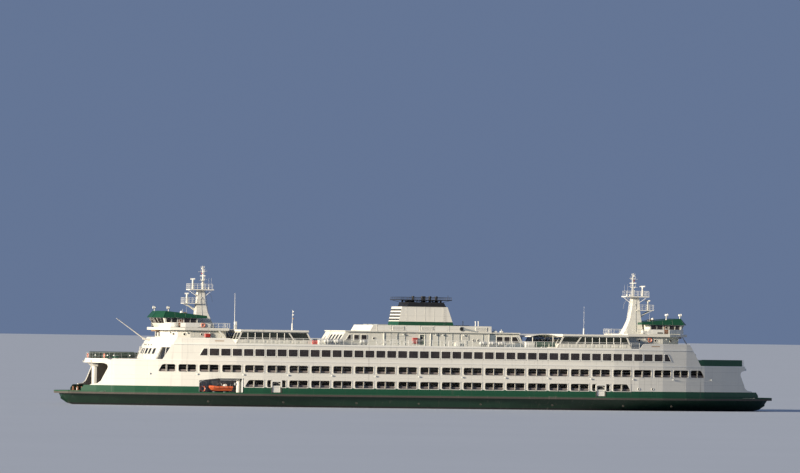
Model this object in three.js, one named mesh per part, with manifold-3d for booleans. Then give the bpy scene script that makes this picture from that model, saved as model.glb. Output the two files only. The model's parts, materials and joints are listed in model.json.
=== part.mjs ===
// A double-ended car ferry as a 1:10 scale model. All sizes below are metres of the real ship, measured
// from its centre at the waterline: x along the ship, y across it, z up. One metre is 100 mm of model.
// The starboard side is -y. End b is +x, and end a is the same thing turned half a turn about z.
import * as THREE from "three";
import { mergeVertices } from "three/addons/utils/BufferGeometryUtils.js";
import Module from "manifold-3d";

const wasm = await Module();
wasm.setup();

// Scale, and the clearances between pieces
const MODEL_MM_PER_METRE = 100;
const SEAM = 0.004; // between pieces that rest on each other
const RUNNING = 0.06; // around pieces that move

// Plan of the plating: straight midships, then drawn in towards both ends
const HALF_BEAM = 13.4;
const STRAIGHT_HALF = 28;
const TAPER = 0.0015;
const TAPER_POWER = 2.4;
const STATIONS = [28, 34, 39, 44, 49, 53, 57, 60.5, 63.5, 66];

// Heights
const KEEL = -5.26;
const GUARD = { low: 2.04, high: 2.58, out: 0.3 };
const VEHICLE_DECK = 2.5;
const DECK_PLATE = 0.2;
const STRAKE_TOP = 3.62;
const PASSENGER_DECK = 8.5;
const SUN_DECK = 11.58;
const BRIDGE_DECK = 14.36;
const WALL = 0.2;

const FINISH = {
  white: { color: 0xeee8d6, roughness: 0.55, metalness: 0 },
  green: { color: 0x1f5a3c, roughness: 0.5, metalness: 0 },
  darkGreen: { color: 0x14261c, roughness: 0.6, metalness: 0 },
  guard: { color: 0x3c372f, roughness: 0.85, metalness: 0 },
  deck: { color: 0x5b5048, roughness: 0.8, metalness: 0 },
  black: { color: 0x1a1a1b, roughness: 0.6, metalness: 0 },
  bronze: { color: 0xa27a3a, roughness: 0.35, metalness: 1 },
  orange: { color: 0xc9552b, roughness: 0.5, metalness: 0 },
  wood: { color: 0x8a4a22, roughness: 0.5, metalness: 0 },
};

// Solids

const sumOf = (numbers) => numbers.reduce((a, b) => a + b, 0);
const mirrorY = (plan) => plan.map(([x, y]) => [x, -y]).reverse();
const closedPlan = (half) => [...half, ...mirrorY(half)];

function toSolid(geometry) {
  const bare = geometry.index ? geometry.toNonIndexed() : geometry.clone();
  bare.deleteAttribute("normal");
  bare.deleteAttribute("uv");
  const merged = mergeVertices(bare, 1e-5);
  return new wasm.Manifold(
    new wasm.Mesh({
      numProp: 3,
      vertProperties: merged.attributes.position.array,
      triVerts: new Uint32Array(merged.index.array),
    }),
  );
}

// A closed solid through like rings of points. flat gives a point's place in the plane of its ring, and
// each ring runs counter-clockwise as seen from the last ring.
function loft(rings, flat) {
  const count = rings[0].length;
  const area = sumOf(
    rings[0].map((p, i) => {
      const [ax, ay] = flat(p);
      const [bx, by] = flat(rings[0][(i + 1) % count]);
      return ax * by - bx * ay;
    }),
  );
  const ordered = area < 0 ? rings.map((ring) => [...ring].reverse()) : rings;
  const faces = [];
  for (let r = 0; r + 1 < ordered.length; r++) {
    for (let i = 0; i < count; i++) {
      const a = r * count + i;
      const b = r * count + ((i + 1) % count);
      faces.push([a, b, b + count], [a, b + count, a + count]);
    }
  }
  const last = (ordered.length - 1) * count;
  const capOf = (ring) =>
    THREE.ShapeUtils.triangulateShape(
      ring.map((p) => new THREE.Vector2(...flat(p))),
      [],
    );
  capOf(ordered[0]).forEach(([a, b, c]) => faces.push([a, c, b]));
  capOf(ordered[ordered.length - 1]).forEach(([a, b, c]) =>
    faces.push([a + last, b + last, c + last]),
  );
  const geometry = new THREE.BufferGeometry();
  geometry.setAttribute(
    "position",
    new THREE.BufferAttribute(new Float32Array(ordered.flat(2)), 3),
  );
  geometry.setIndex(faces.flat());
  return toSolid(geometry);
}

// An upright prism on a plan, which may lean or taper to another plan with as many corners.
function prism(plan, low, high, topPlan = plan) {
  return loft(
    [plan.map(([x, y]) => [x, y, low]), topPlan.map(([x, y]) => [x, y, high])],
    ([x, y]) => [x, y],
  );
}

// A side view, given as [x, z], pulled across the ship from y0 to y1.
function pullAcross(profile, y0, y1) {
  const [from, to] = y0 < y1 ? [y0, y1] : [y1, y0];
  return loft(
    [from, to].map((y) => profile.map(([x, z]) => [x, y, z])),
    ([x, , z]) => [z, x],
  );
}

// A cross-section, given as [y, z], pulled along the ship from x0 to x1.
function pullAlong(section, x0, x1) {
  return loft(
    [x0, x1].map((x) => section.map(([y, z]) => [x, y, z])),
    ([, y, z]) => [y, z],
  );
}

function block(x0, x1, y0, y1, z0, z1) {
  const box = new THREE.BoxGeometry(x1 - x0, y1 - y0, z1 - z0);
  return toSolid(
    box.translate((x0 + x1) / 2, (y0 + y1) / 2, (z0 + z1) / 2),
  );
}

// A round bar between two points.
function bar(start, end, radius, sides = 8, endRadius = radius) {
  const a = new THREE.Vector3(...start);
  const b = new THREE.Vector3(...end);
  const way = b.clone().sub(a);
  const geometry = new THREE.CylinderGeometry(
    endRadius,
    radius,
    way.length(),
    sides,
  );
  const turn = new THREE.Quaternion().setFromUnitVectors(
    new THREE.Vector3(0, 1, 0),
    way.clone().normalize(),
  );
  geometry.applyQuaternion(turn);
  return toSolid(geometry.translate(...a.add(b).multiplyScalar(0.5).toArray()));
}

const join = (...solids) => solids.reduce((a, b) => a.add(b));
const cut = (solid, tools) => tools.reduce((a, b) => a.subtract(b), solid);

// Walls of a closed plan, open at the bottom and top. Each side is moved in by the wall's thickness.
function inset(plan, distance) {
  const count = plan.length;
  const area = sumOf(
    plan.map(([x, y], i) => {
      const [nx, ny] = plan[(i + 1) % count];
      return x * ny - nx * y;
    }),
  );
  const turn = Math.sign(area) * distance;
  const edge = (i) => {
    const [ax, ay] = plan[i % count];
    const [bx, by] = plan[(i + 1) % count];
    const length = Math.hypot(bx - ax, by - ay);
    const n = [(-(by - ay) / length) * turn, ((bx - ax) / length) * turn];
    return { at: [ax + n[0], ay + n[1]], way: [bx - ax, by - ay] };
  };
  return plan.map((_, i) => {
    const before = edge((i + count - 1) % count);
    const after = edge(i);
    const cross =
      before.way[0] * after.way[1] - before.way[1] * after.way[0];
    if (Math.abs(cross) < 1e-6) return after.at;
    const t =
      ((after.at[0] - before.at[0]) * after.way[1] -
        (after.at[1] - before.at[1]) * after.way[0]) /
      cross;
    return [
      before.at[0] + before.way[0] * t,
      before.at[1] + before.way[1] * t,
    ];
  });
}

function room(plan, low, high, wall = WALL, topPlan = plan) {
  const foot = inset(plan, wall);
  const head = inset(topPlan, wall);
  const beyond = 0.2;
  const carry = (from, to) =>
    from.map(([x, y], i) => [
      x + (x - to[i][0]) * beyond,
      y + (y - to[i][1]) * beyond,
    ]);
  const extra = (high - low) * beyond;
  const inner = prism(carry(foot, head), low - extra, high + extra, carry(head, foot));
  return cut(prism(plan, low, high, topPlan), [inner]);
}

// The ship's plan

const fairBreadth = (x) => HALF_BEAM - TAPER * (x - STRAIGHT_HALF) ** TAPER_POWER;

// The plating is flat from one station to the next.
function halfBreadth(x) {
  const a = Math.abs(x);
  if (a <= STRAIGHT_HALF) return HALF_BEAM;
  const i = Math.max(1, STATIONS.findIndex((station) => station >= a));
  const [x0, x1] = [STATIONS[i - 1], STATIONS[i]];
  const [y0, y1] = [fairBreadth(x0), fairBreadth(x1)];
  return y0 + ((y1 - y0) * (a - x0)) / (x1 - x0);
}

function stationsBetween(x0, x1) {
  const all = [...STATIONS.map((x) => -x).reverse(), ...STATIONS];
  return [x0, ...all.filter((x) => x > x0 + 0.4 && x < x1 - 0.4), x1];
}

// The starboard side of the plating between two places, moved in by a distance.
const sideLine = (x0, x1, moved) =>
  stationsBetween(x0, x1).map((x) => [x, -(halfBreadth(x) - moved)]);

// A wall that follows the starboard plating.
function sideWall(x0, x1, low, high, wall = WALL, moved = 0) {
  const outer = sideLine(x0, x1, moved);
  const inner = sideLine(x0, x1, moved + wall);
  return prism([...outer, ...inner.reverse()], low, high);
}

// The outline of a deck that ends in a rounded nose. nose holds [x, half-breadth] from the side to y = 0.
function deckPlan(nose, moved = 0) {
  const reach = nose[0][0];
  const starboard = sideLine(-reach, reach, moved);
  const tip = nose.slice(1);
  const noseB = [...tip.map(([x, y]) => [x, -y]), ...tip.slice(0, -1).reverse()];
  const port = starboard.map(([x, y]) => [-x, -y]);
  const noseA = noseB.map(([x, y]) => [-x, -y]);
  return [...starboard, ...noseB, ...port, ...noseA];
}

// The finished ship

const ship = new THREE.Group();
ship.name = "car_ferry";
const turned = new THREE.Group();
turned.rotation.z = Math.PI;
ship.add(turned);

function meshOf(name, solid, finish) {
  const { vertProperties, triVerts } = solid.getMesh();
  const geometry = new THREE.BufferGeometry();
  geometry.setAttribute(
    "position",
    new THREE.BufferAttribute(
      vertProperties.map((value) => value * MODEL_MM_PER_METRE),
      3,
    ),
  );
  geometry.setIndex(new THREE.BufferAttribute(triVerts, 1));
  geometry.computeVertexNormals();
  const mesh = new THREE.Mesh(
    geometry,
    new THREE.MeshStandardMaterial(FINISH[finish]),
  );
  mesh.name = name;
  return mesh;
}

const place = (name, solid, finish) => ship.add(meshOf(name, solid, finish));

// The same piece twice: as drawn, and turned half a turn about the ship's centre.
function placeBoth(name, turnedName, solid, finish) {
  place(name, solid, finish);
  turned.add(meshOf(turnedName, solid, finish));
}

// Hull

const WATERLINE_HALF = 67.2;
const STEM_SLOPE = 0.65;
const WATERLINE_BEAM = 12.2;
const HULL_TOP = VEHICLE_DECK - DECK_PLATE - SEAM;
const STEM_HALF = 0.2;
const HULL_STATIONS = [0, 14, 26, 36, 44, 50, 55, 59, 62.5, 65.5, 67.6, 68.8];
const FLAT_KEEL_HALF = 46;
const COUNTER = { x: 59, z: -1.1 };
const SKEG = { from: 43, to: 58.4, half: 0.35, boss: 0.55 };
const PROPELLER = { x: 59.1, z: -3.2, radius: 1.95, hub: 0.42, blades: 4 };
const RUDDER = { stock: 62, front: 61.15, back: 64.35, low: -5.05, pad: -1.3 };

// The bottom is flat midships, rises over each propeller to the counter, then to the stem.
function bottomAt(x) {
  const a = Math.abs(x);
  if (a <= FLAT_KEEL_HALF) return KEEL;
  if (a <= COUNTER.x) {
    const t = (a - FLAT_KEEL_HALF) / (COUNTER.x - FLAT_KEEL_HALF);
    return KEEL + (COUNTER.z - KEEL) * t * t * (3 - 2 * t);
  }
  if (a > WATERLINE_HALF) return (a - WATERLINE_HALF) * STEM_SLOPE;
  const t = (a - COUNTER.x) / (WATERLINE_HALF - COUNTER.x);
  return COUNTER.z * (1 - t);
}

const waterBreadth = (x) =>
  Math.max(
    STEM_HALF,
    WATERLINE_BEAM * (1 - Math.min(1, Math.abs(x) / WATERLINE_HALF) ** 2.4),
  );

const NOSE = [
  [66, halfBreadth(66)],
  [68.1, 3.1],
  [69.4, 1.6],
  [69.8, 0],
];
const noseBreadth = (x) => {
  const a = Math.abs(x);
  if (a <= NOSE[0][0]) return halfBreadth(a);
  const i = NOSE.findIndex(([nx]) => nx >= a);
  const [x0, y0] = NOSE[i - 1];
  const [x1, y1] = NOSE[i];
  return y0 + ((y1 - y0) * (a - x0)) / (x1 - x0);
};

function hullRing(x) {
  const bottom = bottomAt(x);
  const top = noseBreadth(x) - GUARD.out;
  const water = Math.min(waterBreadth(x), top);
  const fullness = 0.55 + 0.3 * (Math.abs(x) / WATERLINE_HALF) ** 2;
  const shares = [0.02, 0.12, 0.32, 0.62, 1];
  const waterZ = Math.max(0, bottom + 0.3);
  const half = shares.map((s, i) => [
    Math.max(STEM_HALF, water * s ** fullness),
    i ? bottom + (waterZ - bottom) * s : bottom,
  ]);
  half.push([Math.max(STEM_HALF, top), HULL_TOP]);
  return [...half, ...half.map(([y, z]) => [-y, z]).reverse()];
}

function hull() {
  const all = [...HULL_STATIONS.slice(1).map((x) => -x).reverse(), ...HULL_STATIONS];
  const body = loft(
    all.map((x) => hullRing(x).map(([y, z]) => [x, y, z])),
    ([, y, z]) => [y, z],
  );
  const ends = [1, -1].flatMap((end) => {
    const skegProfile = [
      [end * SKEG.from, KEEL + 0.05],
      [end * (SKEG.to - 1.2), KEEL + 0.05],
      [end * SKEG.to, PROPELLER.z - SKEG.boss],
      [end * SKEG.to, COUNTER.z + 0.3],
      [end * SKEG.from, COUNTER.z + 0.3],
    ];
    return [
      pullAcross(skegProfile, -SKEG.half, SKEG.half),
      bar(
        [end * (SKEG.to - 3), 0, PROPELLER.z],
        [end * SKEG.to, 0, PROPELLER.z],
        SKEG.boss,
        12,
      ),
      bar(
        [end * RUDDER.stock, 0, RUDDER.pad],
        [end * RUDDER.stock, 0, 0.6],
        0.4,
        12,
      ),
    ];
  });
  return join(body, ...ends);
}

const deckOutline = (moved) =>
  deckPlan(
    NOSE.map(([x, y], i) => [i ? x - moved : x, y ? y - moved * 0.8 : 0]),
    moved,
  );

place("hull", hull(), "darkGreen");

// Guard rail around the deck edge, and the vehicle deck. Where a landing's apron lies on its ends, the deck
// is a step lower.

const APRON = { from: 66.5, to: 71, step: 0.03, half: 8 };

place(
  "guard_rail",
  cut(prism(inset(deckOutline(0), -GUARD.out), GUARD.low, GUARD.high), [
    prism(inset(deckOutline(0), -SEAM), GUARD.low - 1, GUARD.high + 1),
  ]),
  "guard",
);

const apronSteps = [-1, 1].map((end) =>
  pullAcross(
    [
      [end * APRON.from, VEHICLE_DECK - APRON.step],
      [end * APRON.to, VEHICLE_DECK - APRON.step],
      [end * APRON.to, VEHICLE_DECK + 1],
      [end * APRON.from, VEHICLE_DECK + 1],
    ],
    -APRON.half,
    APRON.half,
  ),
);
place(
  "vehicle_deck",
  cut(prism(deckOutline(0), VEHICLE_DECK - DECK_PLATE, VEHICLE_DECK), apronSteps),
  "deck",
);

// Side openings. Window pairs repeat in bays from the centre outwards; the last three bays are narrower.

const BAY = 4.19;
const MULLION = 0.26;
const PAIR_SHARE = 0.85;
const UPPER_BAYS = [1, 1, 1, 1, 1, 1, 1, 1, 1, 1, 0.98, 0.89, 0.85];
const UPPER_WINDOW = { low: 6.38, high: 7.57 };
const LOWER_BAYS = 9;
const LOWER_OPENING = { low: STRAKE_TOP, high: 4.86 };
const GATE_BAY = 7;
const GATE = {
  x: BAY * (GATE_BAY + 0.5),
  half: 0.83,
  low: 2.62,
  leafHigh: 3.9,
  high: 4.7,
  post: 0.2,
  knuckle: RUNNING - SEAM,
  knuckleHigh: 0.3,
};
const RECESS = {
  left: -45.7,
  right: -37.8,
  low: 2.62,
  leftHigh: 4.75,
  high: 5.2,
  bend: -42,
};

// From outside the widest plating to inside the narrowest
const THROUGH = [-14.5, -7];
const THROUGH_END = [-14.5, -1];
const throughSide = (x0, x1, z0, z1) => block(x0, x1, ...THROUGH, z0, z1);

function windowPair(centre, width, { low, high }) {
  return [-1, 1].map((side) => {
    const inner = centre + (side * MULLION) / 2;
    const outer = centre + (side * width) / 2;
    return throughSide(Math.min(inner, outer), Math.max(inner, outer), low, high);
  });
}

const upperWindows = () =>
  [-1, 1].flatMap((side) => {
    let reached = 0;
    return UPPER_BAYS.flatMap((share) => {
      const centre = side * (reached + (share * BAY) / 2);
      reached += share * BAY;
      return windowPair(centre, share * BAY * PAIR_SHARE, UPPER_WINDOW);
    });
  });

const gateBay = (x) => {
  const side = BAY * PAIR_SHARE * 0.5;
  const inner = GATE.half + GATE.post;
  return [
    throughSide(x - GATE.half, x + GATE.half, LOWER_OPENING.low - 1, GATE.high),
    throughSide(x - side, x - inner, LOWER_OPENING.low - 1, LOWER_OPENING.high),
    throughSide(x + inner, x + side, LOWER_OPENING.low - 1, LOWER_OPENING.high),
  ];
};

const lowerOpenings = () =>
  [-1, 1].flatMap((side) =>
    Array.from({ length: LOWER_BAYS }, (_, i) => i).flatMap((i) => {
      const x = side * BAY * (i + 0.5);
      if (i === GATE_BAY) return gateBay(x);
      const low = LOWER_OPENING.low - 1;
      return windowPair(x, BAY * PAIR_SHARE, { low, high: LOWER_OPENING.high });
    }),
  );

const recessProfile = [
  [RECESS.left, RECESS.low],
  [RECESS.left, RECESS.leftHigh],
  [RECESS.bend, RECESS.high],
  [RECESS.right, RECESS.high],
  [RECESS.right, RECESS.low],
];

// Green bulwark on the vehicle deck's edge

const BULWARK_END = 66;
function bulwark() {
  const strip = sideWall(
    -BULWARK_END,
    BULWARK_END,
    VEHICLE_DECK + SEAM,
    STRAKE_TOP,
  );
  const gateGaps = [-1, 1].map((side) =>
    throughSide(
      side * GATE.x - GATE.half,
      side * GATE.x + GATE.half,
      GATE.low,
      GATE.high,
    ),
  );
  const slants = [-1, 1].map((side) =>
    pullAcross(
      [
        [side * (BULWARK_END - 0.9), STRAKE_TOP + 0.5],
        [side * (BULWARK_END + 0.2), STRAKE_TOP - 0.9],
        [side * (BULWARK_END + 1), STRAKE_TOP + 0.5],
      ],
      ...THROUGH_END,
    ),
  );
  return cut(strip, [...gateGaps, ...slants, pullAcross(recessProfile, ...THROUGH)]);
}
placeBoth("bulwark_starboard", "bulwark_port", bulwark(), "green");

// White side shell above the bulwark, up to the passenger deck. Its end edges curve in.

const SHELL_TOP = PASSENGER_DECK - DECK_PLATE - SEAM;
const SHELL_PAST = 67;
const SHELL_END = [
  [64.8, STRAKE_TOP],
  [63.4, 3.8],
  [62.75, 4.3],
  [61.6, 6.7],
  [61.55, 7.1],
  [61.75, 7.45],
  [62.2, 7.62],
  [62.6, 7.68],
  [62.6, SHELL_TOP],
];
function shell() {
  const [foot] = SHELL_END[0];
  const [head] = SHELL_END[SHELL_END.length - 1];
  const strip = sideWall(-foot, foot, STRAKE_TOP + SEAM, SHELL_TOP);
  const ends = [-1, 1].map((side) =>
    pullAcross(
      [
        [side * foot, STRAKE_TOP - 1],
        ...SHELL_END.map(([x, z]) => [side * x, z]),
        [side * head, SHELL_TOP + 1],
        [side * SHELL_PAST, SHELL_TOP + 1],
        [side * SHELL_PAST, STRAKE_TOP - 1],
      ],
      ...THROUGH_END,
    ),
  );
  return cut(strip, [
    ...ends,
    ...upperWindows(),
    ...lowerOpenings(),
    pullAcross(recessProfile, ...THROUGH),
  ]);
}
placeBoth("shell_starboard", "shell_port", shell(), "white");

// Boarding gates, which turn inwards on two knuckles at one inner corner

const LEAF = 0.1;
const GATE_INNER = -(halfBreadth(GATE.x) - WALL);
function gateLeaf(x) {
  const hinge = x - GATE.half + RUNNING;
  const foot = GATE.low + RUNNING;
  const leaf = block(
    hinge,
    x + GATE.half - RUNNING,
    GATE_INNER - LEAF,
    GATE_INNER,
    foot,
    GATE.leafHigh,
  );
  const knuckles = [foot, STRAKE_TOP - GATE.knuckleHigh].map((z) =>
    bar([hinge, GATE_INNER, z], [hinge, GATE_INNER, z + GATE.knuckleHigh], GATE.knuckle, 16),
  );
  return join(leaf, ...knuckles);
}
placeBoth("gate_starboard_b", "gate_port_a", gateLeaf(GATE.x), "white");
placeBoth("gate_starboard_a", "gate_port_b", gateLeaf(-GATE.x), "white");

// Casing, and the mezzanine car decks with their pillars, ramps and the boat recess

const CASING = { half: 46, side: 1.5 };
place(
  "casing",
  block(
    -CASING.half,
    CASING.half,
    -CASING.side,
    CASING.side,
    VEHICLE_DECK + SEAM,
    SHELL_TOP,
  ),
  "white",
);

const MEZZANINE = { half: 38, inner: -6.6, low: 5.05, high: 5.3, kerb: 6.1 };
const DECK_PILLARS = { at: [-33, -22, -11, 0, 11, 22, 33], half: 0.15 };
const RAMP = { foot: 54, inner: -6.4, outer: -9.3, tip: 0.08, head: 0.5, toe: 1.2 };
const RECESS_WALL = { back: -10.15, plate: 0.15, roof: 5.4 };
const CHOCKS = { at: [-42.8, -40.8], half: 0.12, outer: -11.7 };
const BOAT = { bow: -43.95, stern: -39.35, y: -11.2, half: 0.8, keel: 2.76, rim: 3.75 };
function mezzanine() {
  const outer = sideLine(-MEZZANINE.half, MEZZANINE.half, WALL + SEAM);
  const slab = prism(
    [...outer, [MEZZANINE.half, MEZZANINE.inner], [-MEZZANINE.half, MEZZANINE.inner]],
    MEZZANINE.low,
    MEZZANINE.high,
  );
  const kerb = block(
    -MEZZANINE.half,
    MEZZANINE.half,
    MEZZANINE.inner - DECK_PILLARS.half,
    MEZZANINE.inner + SEAM,
    MEZZANINE.low,
    MEZZANINE.kerb,
  );
  const pillars = DECK_PILLARS.at.map((x) =>
    block(
      x - DECK_PILLARS.half,
      x + DECK_PILLARS.half,
      MEZZANINE.inner - DECK_PILLARS.half,
      MEZZANINE.inner + DECK_PILLARS.half,
      VEHICLE_DECK + SEAM,
      MEZZANINE.high,
    ),
  );
  const ramps = [-1, 1].map((side) =>
    pullAcross(
      [
        [side * (MEZZANINE.half - RAMP.head), MEZZANINE.low],
        [side * (MEZZANINE.half - RAMP.head), MEZZANINE.high],
        [side * MEZZANINE.half, MEZZANINE.high],
        [side * RAMP.foot, VEHICLE_DECK + RAMP.tip],
        [side * RAMP.foot, VEHICLE_DECK + SEAM],
        [side * (RAMP.foot - RAMP.toe), VEHICLE_DECK + SEAM],
        [side * MEZZANINE.half, MEZZANINE.low],
      ],
      RAMP.outer,
      RAMP.inner,
    ),
  );
  const { back, plate, roof } = RECESS_WALL;
  const left = RECESS.left - plate;
  const right = RECESS.right + plate;
  const base = VEHICLE_DECK + SEAM;
  const inside = sideLine(left, right, WALL + SEAM);
  const plan = [...inside, [right, back + plate], [left, back + plate]];
  const hollow = block(RECESS.left, RECESS.right, THROUGH[0], back, base - 1, roof - plate);
  const recess = cut(prism(plan, base, roof), [hollow]);
  const chocks = CHOCKS.at.map((x) =>
    block(
      x - CHOCKS.half,
      x + CHOCKS.half,
      CHOCKS.outer,
      back + plate / 2,
      base,
      BOAT.keel - RUNNING,
    ),
  );
  return join(slab, kerb, ...pillars, ...ramps, recess, ...chocks);
}
placeBoth("mezzanine_starboard", "mezzanine_port", mezzanine(), "deck");

// End arch over each vehicle mouth, with the pillar that divides it

const DECK_NOSE = [
  [62.6, halfBreadth(62.6)],
  [63.4, 3.6],
  [64.0, 0],
];
const ARCH = { start: DECK_NOSE[0][0] + SEAM, low: 7.7, lean: 0.4, wall: 0.35 };
const PILLAR = {
  x: 62.5,
  half: 0.3,
  side: 0.8,
  headSide: 1.5,
  flareFrom: 7,
  flareTo: 63.85,
  flareLow: 7.9,
};
function arch() {
  const corner = [ARCH.start, halfBreadth(ARCH.start)];
  const planOf = (lean) => {
    const outer = [corner, ...DECK_NOSE.slice(1).map(([x, y]) => [x + lean, y])];
    const inner = outer.map(([x, y], i) => (i ? [x - ARCH.wall, y] : [x, y - ARCH.wall]));
    return [
      ...outer,
      ...outer.slice(0, -1).reverse().map(([x, y]) => [x, -y]),
      ...inner.slice(0, -1).map(([x, y]) => [x, -y]),
      ...inner.slice().reverse(),
    ];
  };
  const beam = prism(planOf(ARCH.lean), ARCH.low, SHELL_TOP, planOf(0));
  const post = block(
    PILLAR.x - PILLAR.half,
    PILLAR.x + PILLAR.half,
    -PILLAR.side,
    PILLAR.side,
    VEHICLE_DECK + SEAM,
    SHELL_TOP - 0.3,
  );
  const head = pullAcross(
    [
      [PILLAR.x - PILLAR.half, PILLAR.flareFrom],
      [PILLAR.x + PILLAR.half, PILLAR.flareFrom],
      [PILLAR.flareTo, PILLAR.flareLow],
      [PILLAR.flareTo, SHELL_TOP],
      [PILLAR.x - PILLAR.half, SHELL_TOP],
    ],
    -PILLAR.headSide,
    PILLAR.headSide,
  );
  return join(beam, post, head);
}
placeBoth("end_arch_b", "end_arch_a", arch(), "white");

// Passenger deck, the cabin's sides and fronts, and the green bulwark around each open end

place(
  "passenger_deck",
  prism(deckPlan(DECK_NOSE), PASSENGER_DECK - DECK_PLATE, PASSENGER_DECK),
  "deck",
);

const SUN_PLATE = 0.28;
const CABIN = {
  low: PASSENGER_DECK + SEAM,
  high: SUN_DECK - SUN_PLATE - SEAM,
  footEnd: 52.25,
  headEnd: 50.55,
};
function cabinSide() {
  const strip = sideWall(-CABIN.footEnd, CABIN.footEnd, CABIN.low, CABIN.high);
  const rakes = [-1, 1].map((side) =>
    pullAcross(
      [
        [side * CABIN.footEnd, CABIN.low],
        [side * CABIN.headEnd, CABIN.high],
        [side * CABIN.headEnd, CABIN.high + 1],
        [side * (CABIN.footEnd + 2), CABIN.high + 1],
        [side * (CABIN.footEnd + 2), CABIN.low],
      ],
      ...THROUGH_END,
    ),
  );
  return cut(strip, rakes);
}
placeBoth("cabin_side_starboard", "cabin_side_port", cabinSide(), "white");

const FRONT_HALF = [
  [53.6, 0],
  [53.3, 3.2],
  [52.65, 7],
];
const FRONT_RAKE = 1.2;
const FRONT_WALL = 0.25;
function cabinFront() {
  const strip = (half) => [
    ...half,
    ...half.map(([x, y]) => [x - FRONT_WALL, y]).reverse(),
    ...half.slice(1).map(([x, y]) => [x - FRONT_WALL, -y]),
    ...half.slice(1).map(([x, y]) => [x, -y]).reverse(),
  ];
  return prism(
    strip(FRONT_HALF),
    CABIN.low,
    CABIN.high,
    strip(FRONT_HALF.map(([x, y]) => [x - FRONT_RAKE, y])),
  );
}
placeBoth("cabin_front_b", "cabin_front_a", cabinFront(), "white");

// The bulwark stands on the starboard side of end b and the port side of end a. It starts at the cabin's
// raked end.
const END_BULWARK = { start: 51, end: 61.9, high: 9.6, wall: 0.15, past: 0.2 };
function endBulwark() {
  const rake = (CABIN.headEnd - CABIN.footEnd) / (CABIN.high - CABIN.low);
  const cabinEnd = (z) => [CABIN.footEnd + 2 * SEAM + rake * (z - CABIN.low), z];
  const { start, end, high, wall, past } = END_BULWARK;
  const strip = sideWall(start, end, CABIN.low, high, wall);
  return cut(strip, [
    pullAcross(
      [
        [start - 1, CABIN.low - past],
        cabinEnd(CABIN.low - past),
        cabinEnd(high + past),
        [start - 1, high + past],
      ],
      ...THROUGH,
    ),
  ]);
}
placeBoth("end_bulwark_b", "end_bulwark_a", endBulwark(), "green");

// Sun deck with the white bulwark around each end

const sunNose = (back) => [
  [50.4 - back, halfBreadth(50.4 - back)],
  [51.5 - back, 6],
  [52.45 - back, 0],
];
const SUN_BULWARK = { start: 39.2, shoulder: 40, high: 12.45, wall: 0.18, lean: 0.65 };
const STAFF = { x: 53.2, z: 12.2, radius: 0.11, tip: 0.05, eye: 0.2, half: 0.3 };
const BRACKET_DEPTH = 0.25;
function sunDeck() {
  const low = SUN_DECK - SUN_PLATE;
  const foot = deckPlan(sunNose(0));
  const head = deckPlan(sunNose(SUN_BULWARK.lean));
  const { high, wall } = SUN_BULWARK;
  const plate = prism(foot, low, SUN_DECK);
  const ring = cut(room(foot, SUN_DECK - 0.05, high, wall, head), [
    pullAcross(
      [
        [-SUN_BULWARK.start, low],
        [-SUN_BULWARK.start, SUN_DECK],
        [-SUN_BULWARK.shoulder, SUN_BULWARK.high + 0.2],
        [SUN_BULWARK.shoulder, SUN_BULWARK.high + 0.2],
        [SUN_BULWARK.start, SUN_DECK],
        [SUN_BULWARK.start, low],
      ],
      THROUGH[0],
      -THROUGH[0],
    ),
  ]);
  const reach = STAFF.x - STAFF.eye - SEAM;
  const root = sunNose(SUN_BULWARK.lean)[2][0] + wall / 2;
  const brackets = [
    [root, reach],
    [-reach, -root],
  ].map(([x0, x1]) =>
    block(x0, x1, -STAFF.half, STAFF.half, STAFF.z - BRACKET_DEPTH, STAFF.z),
  );
  return join(plate, ring, ...brackets);
}
place("sun_deck", sunDeck(), "white");

// Central deckhouse, its roof with the fan tier, and the funnel

const HOUSE = {
  foot: [-17.9, 18.6],
  head: [-16.3, 17.4],
  side: 6.5,
  high: 14.05,
  roof: 0.2,
  eave: 0.2,
  sideEave: 0.35,
};
const TIER = { foot: [-11.6, 12.1], head: [-10.9, 12.1], side: 6.3, high: 15.37 };
const DOORWAY = { from: -1.92, to: -1.03, outer: -8, inner: -4, sill: 0.15, high: 13.6 };
const rectangle = (x0, x1, half) => [
  [x0, -half],
  [x1, -half],
  [x1, half],
  [x0, half],
];
place(
  "deckhouse",
  cut(
    room(
      rectangle(...HOUSE.foot, HOUSE.side),
      SUN_DECK + SEAM,
      HOUSE.high,
      WALL,
      rectangle(...HOUSE.head, HOUSE.side),
    ),
    [
      block(
        DOORWAY.from,
        DOORWAY.to,
        DOORWAY.outer,
        DOORWAY.inner,
        SUN_DECK + DOORWAY.sill,
        DOORWAY.high,
      ),
    ],
  ),
  "white",
);
place(
  "deckhouse_roof",
  join(
    prism(
      rectangle(
        HOUSE.head[0] - HOUSE.eave,
        HOUSE.head[1] + HOUSE.eave,
        HOUSE.side + HOUSE.sideEave,
      ),
      HOUSE.high + SEAM,
      HOUSE.high + HOUSE.roof,
    ),
    prism(
      rectangle(...TIER.foot, TIER.side),
      HOUSE.high + HOUSE.roof / 2,
      TIER.high,
      rectangle(...TIER.head, TIER.side),
    ),
  ),
  "white",
);

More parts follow.
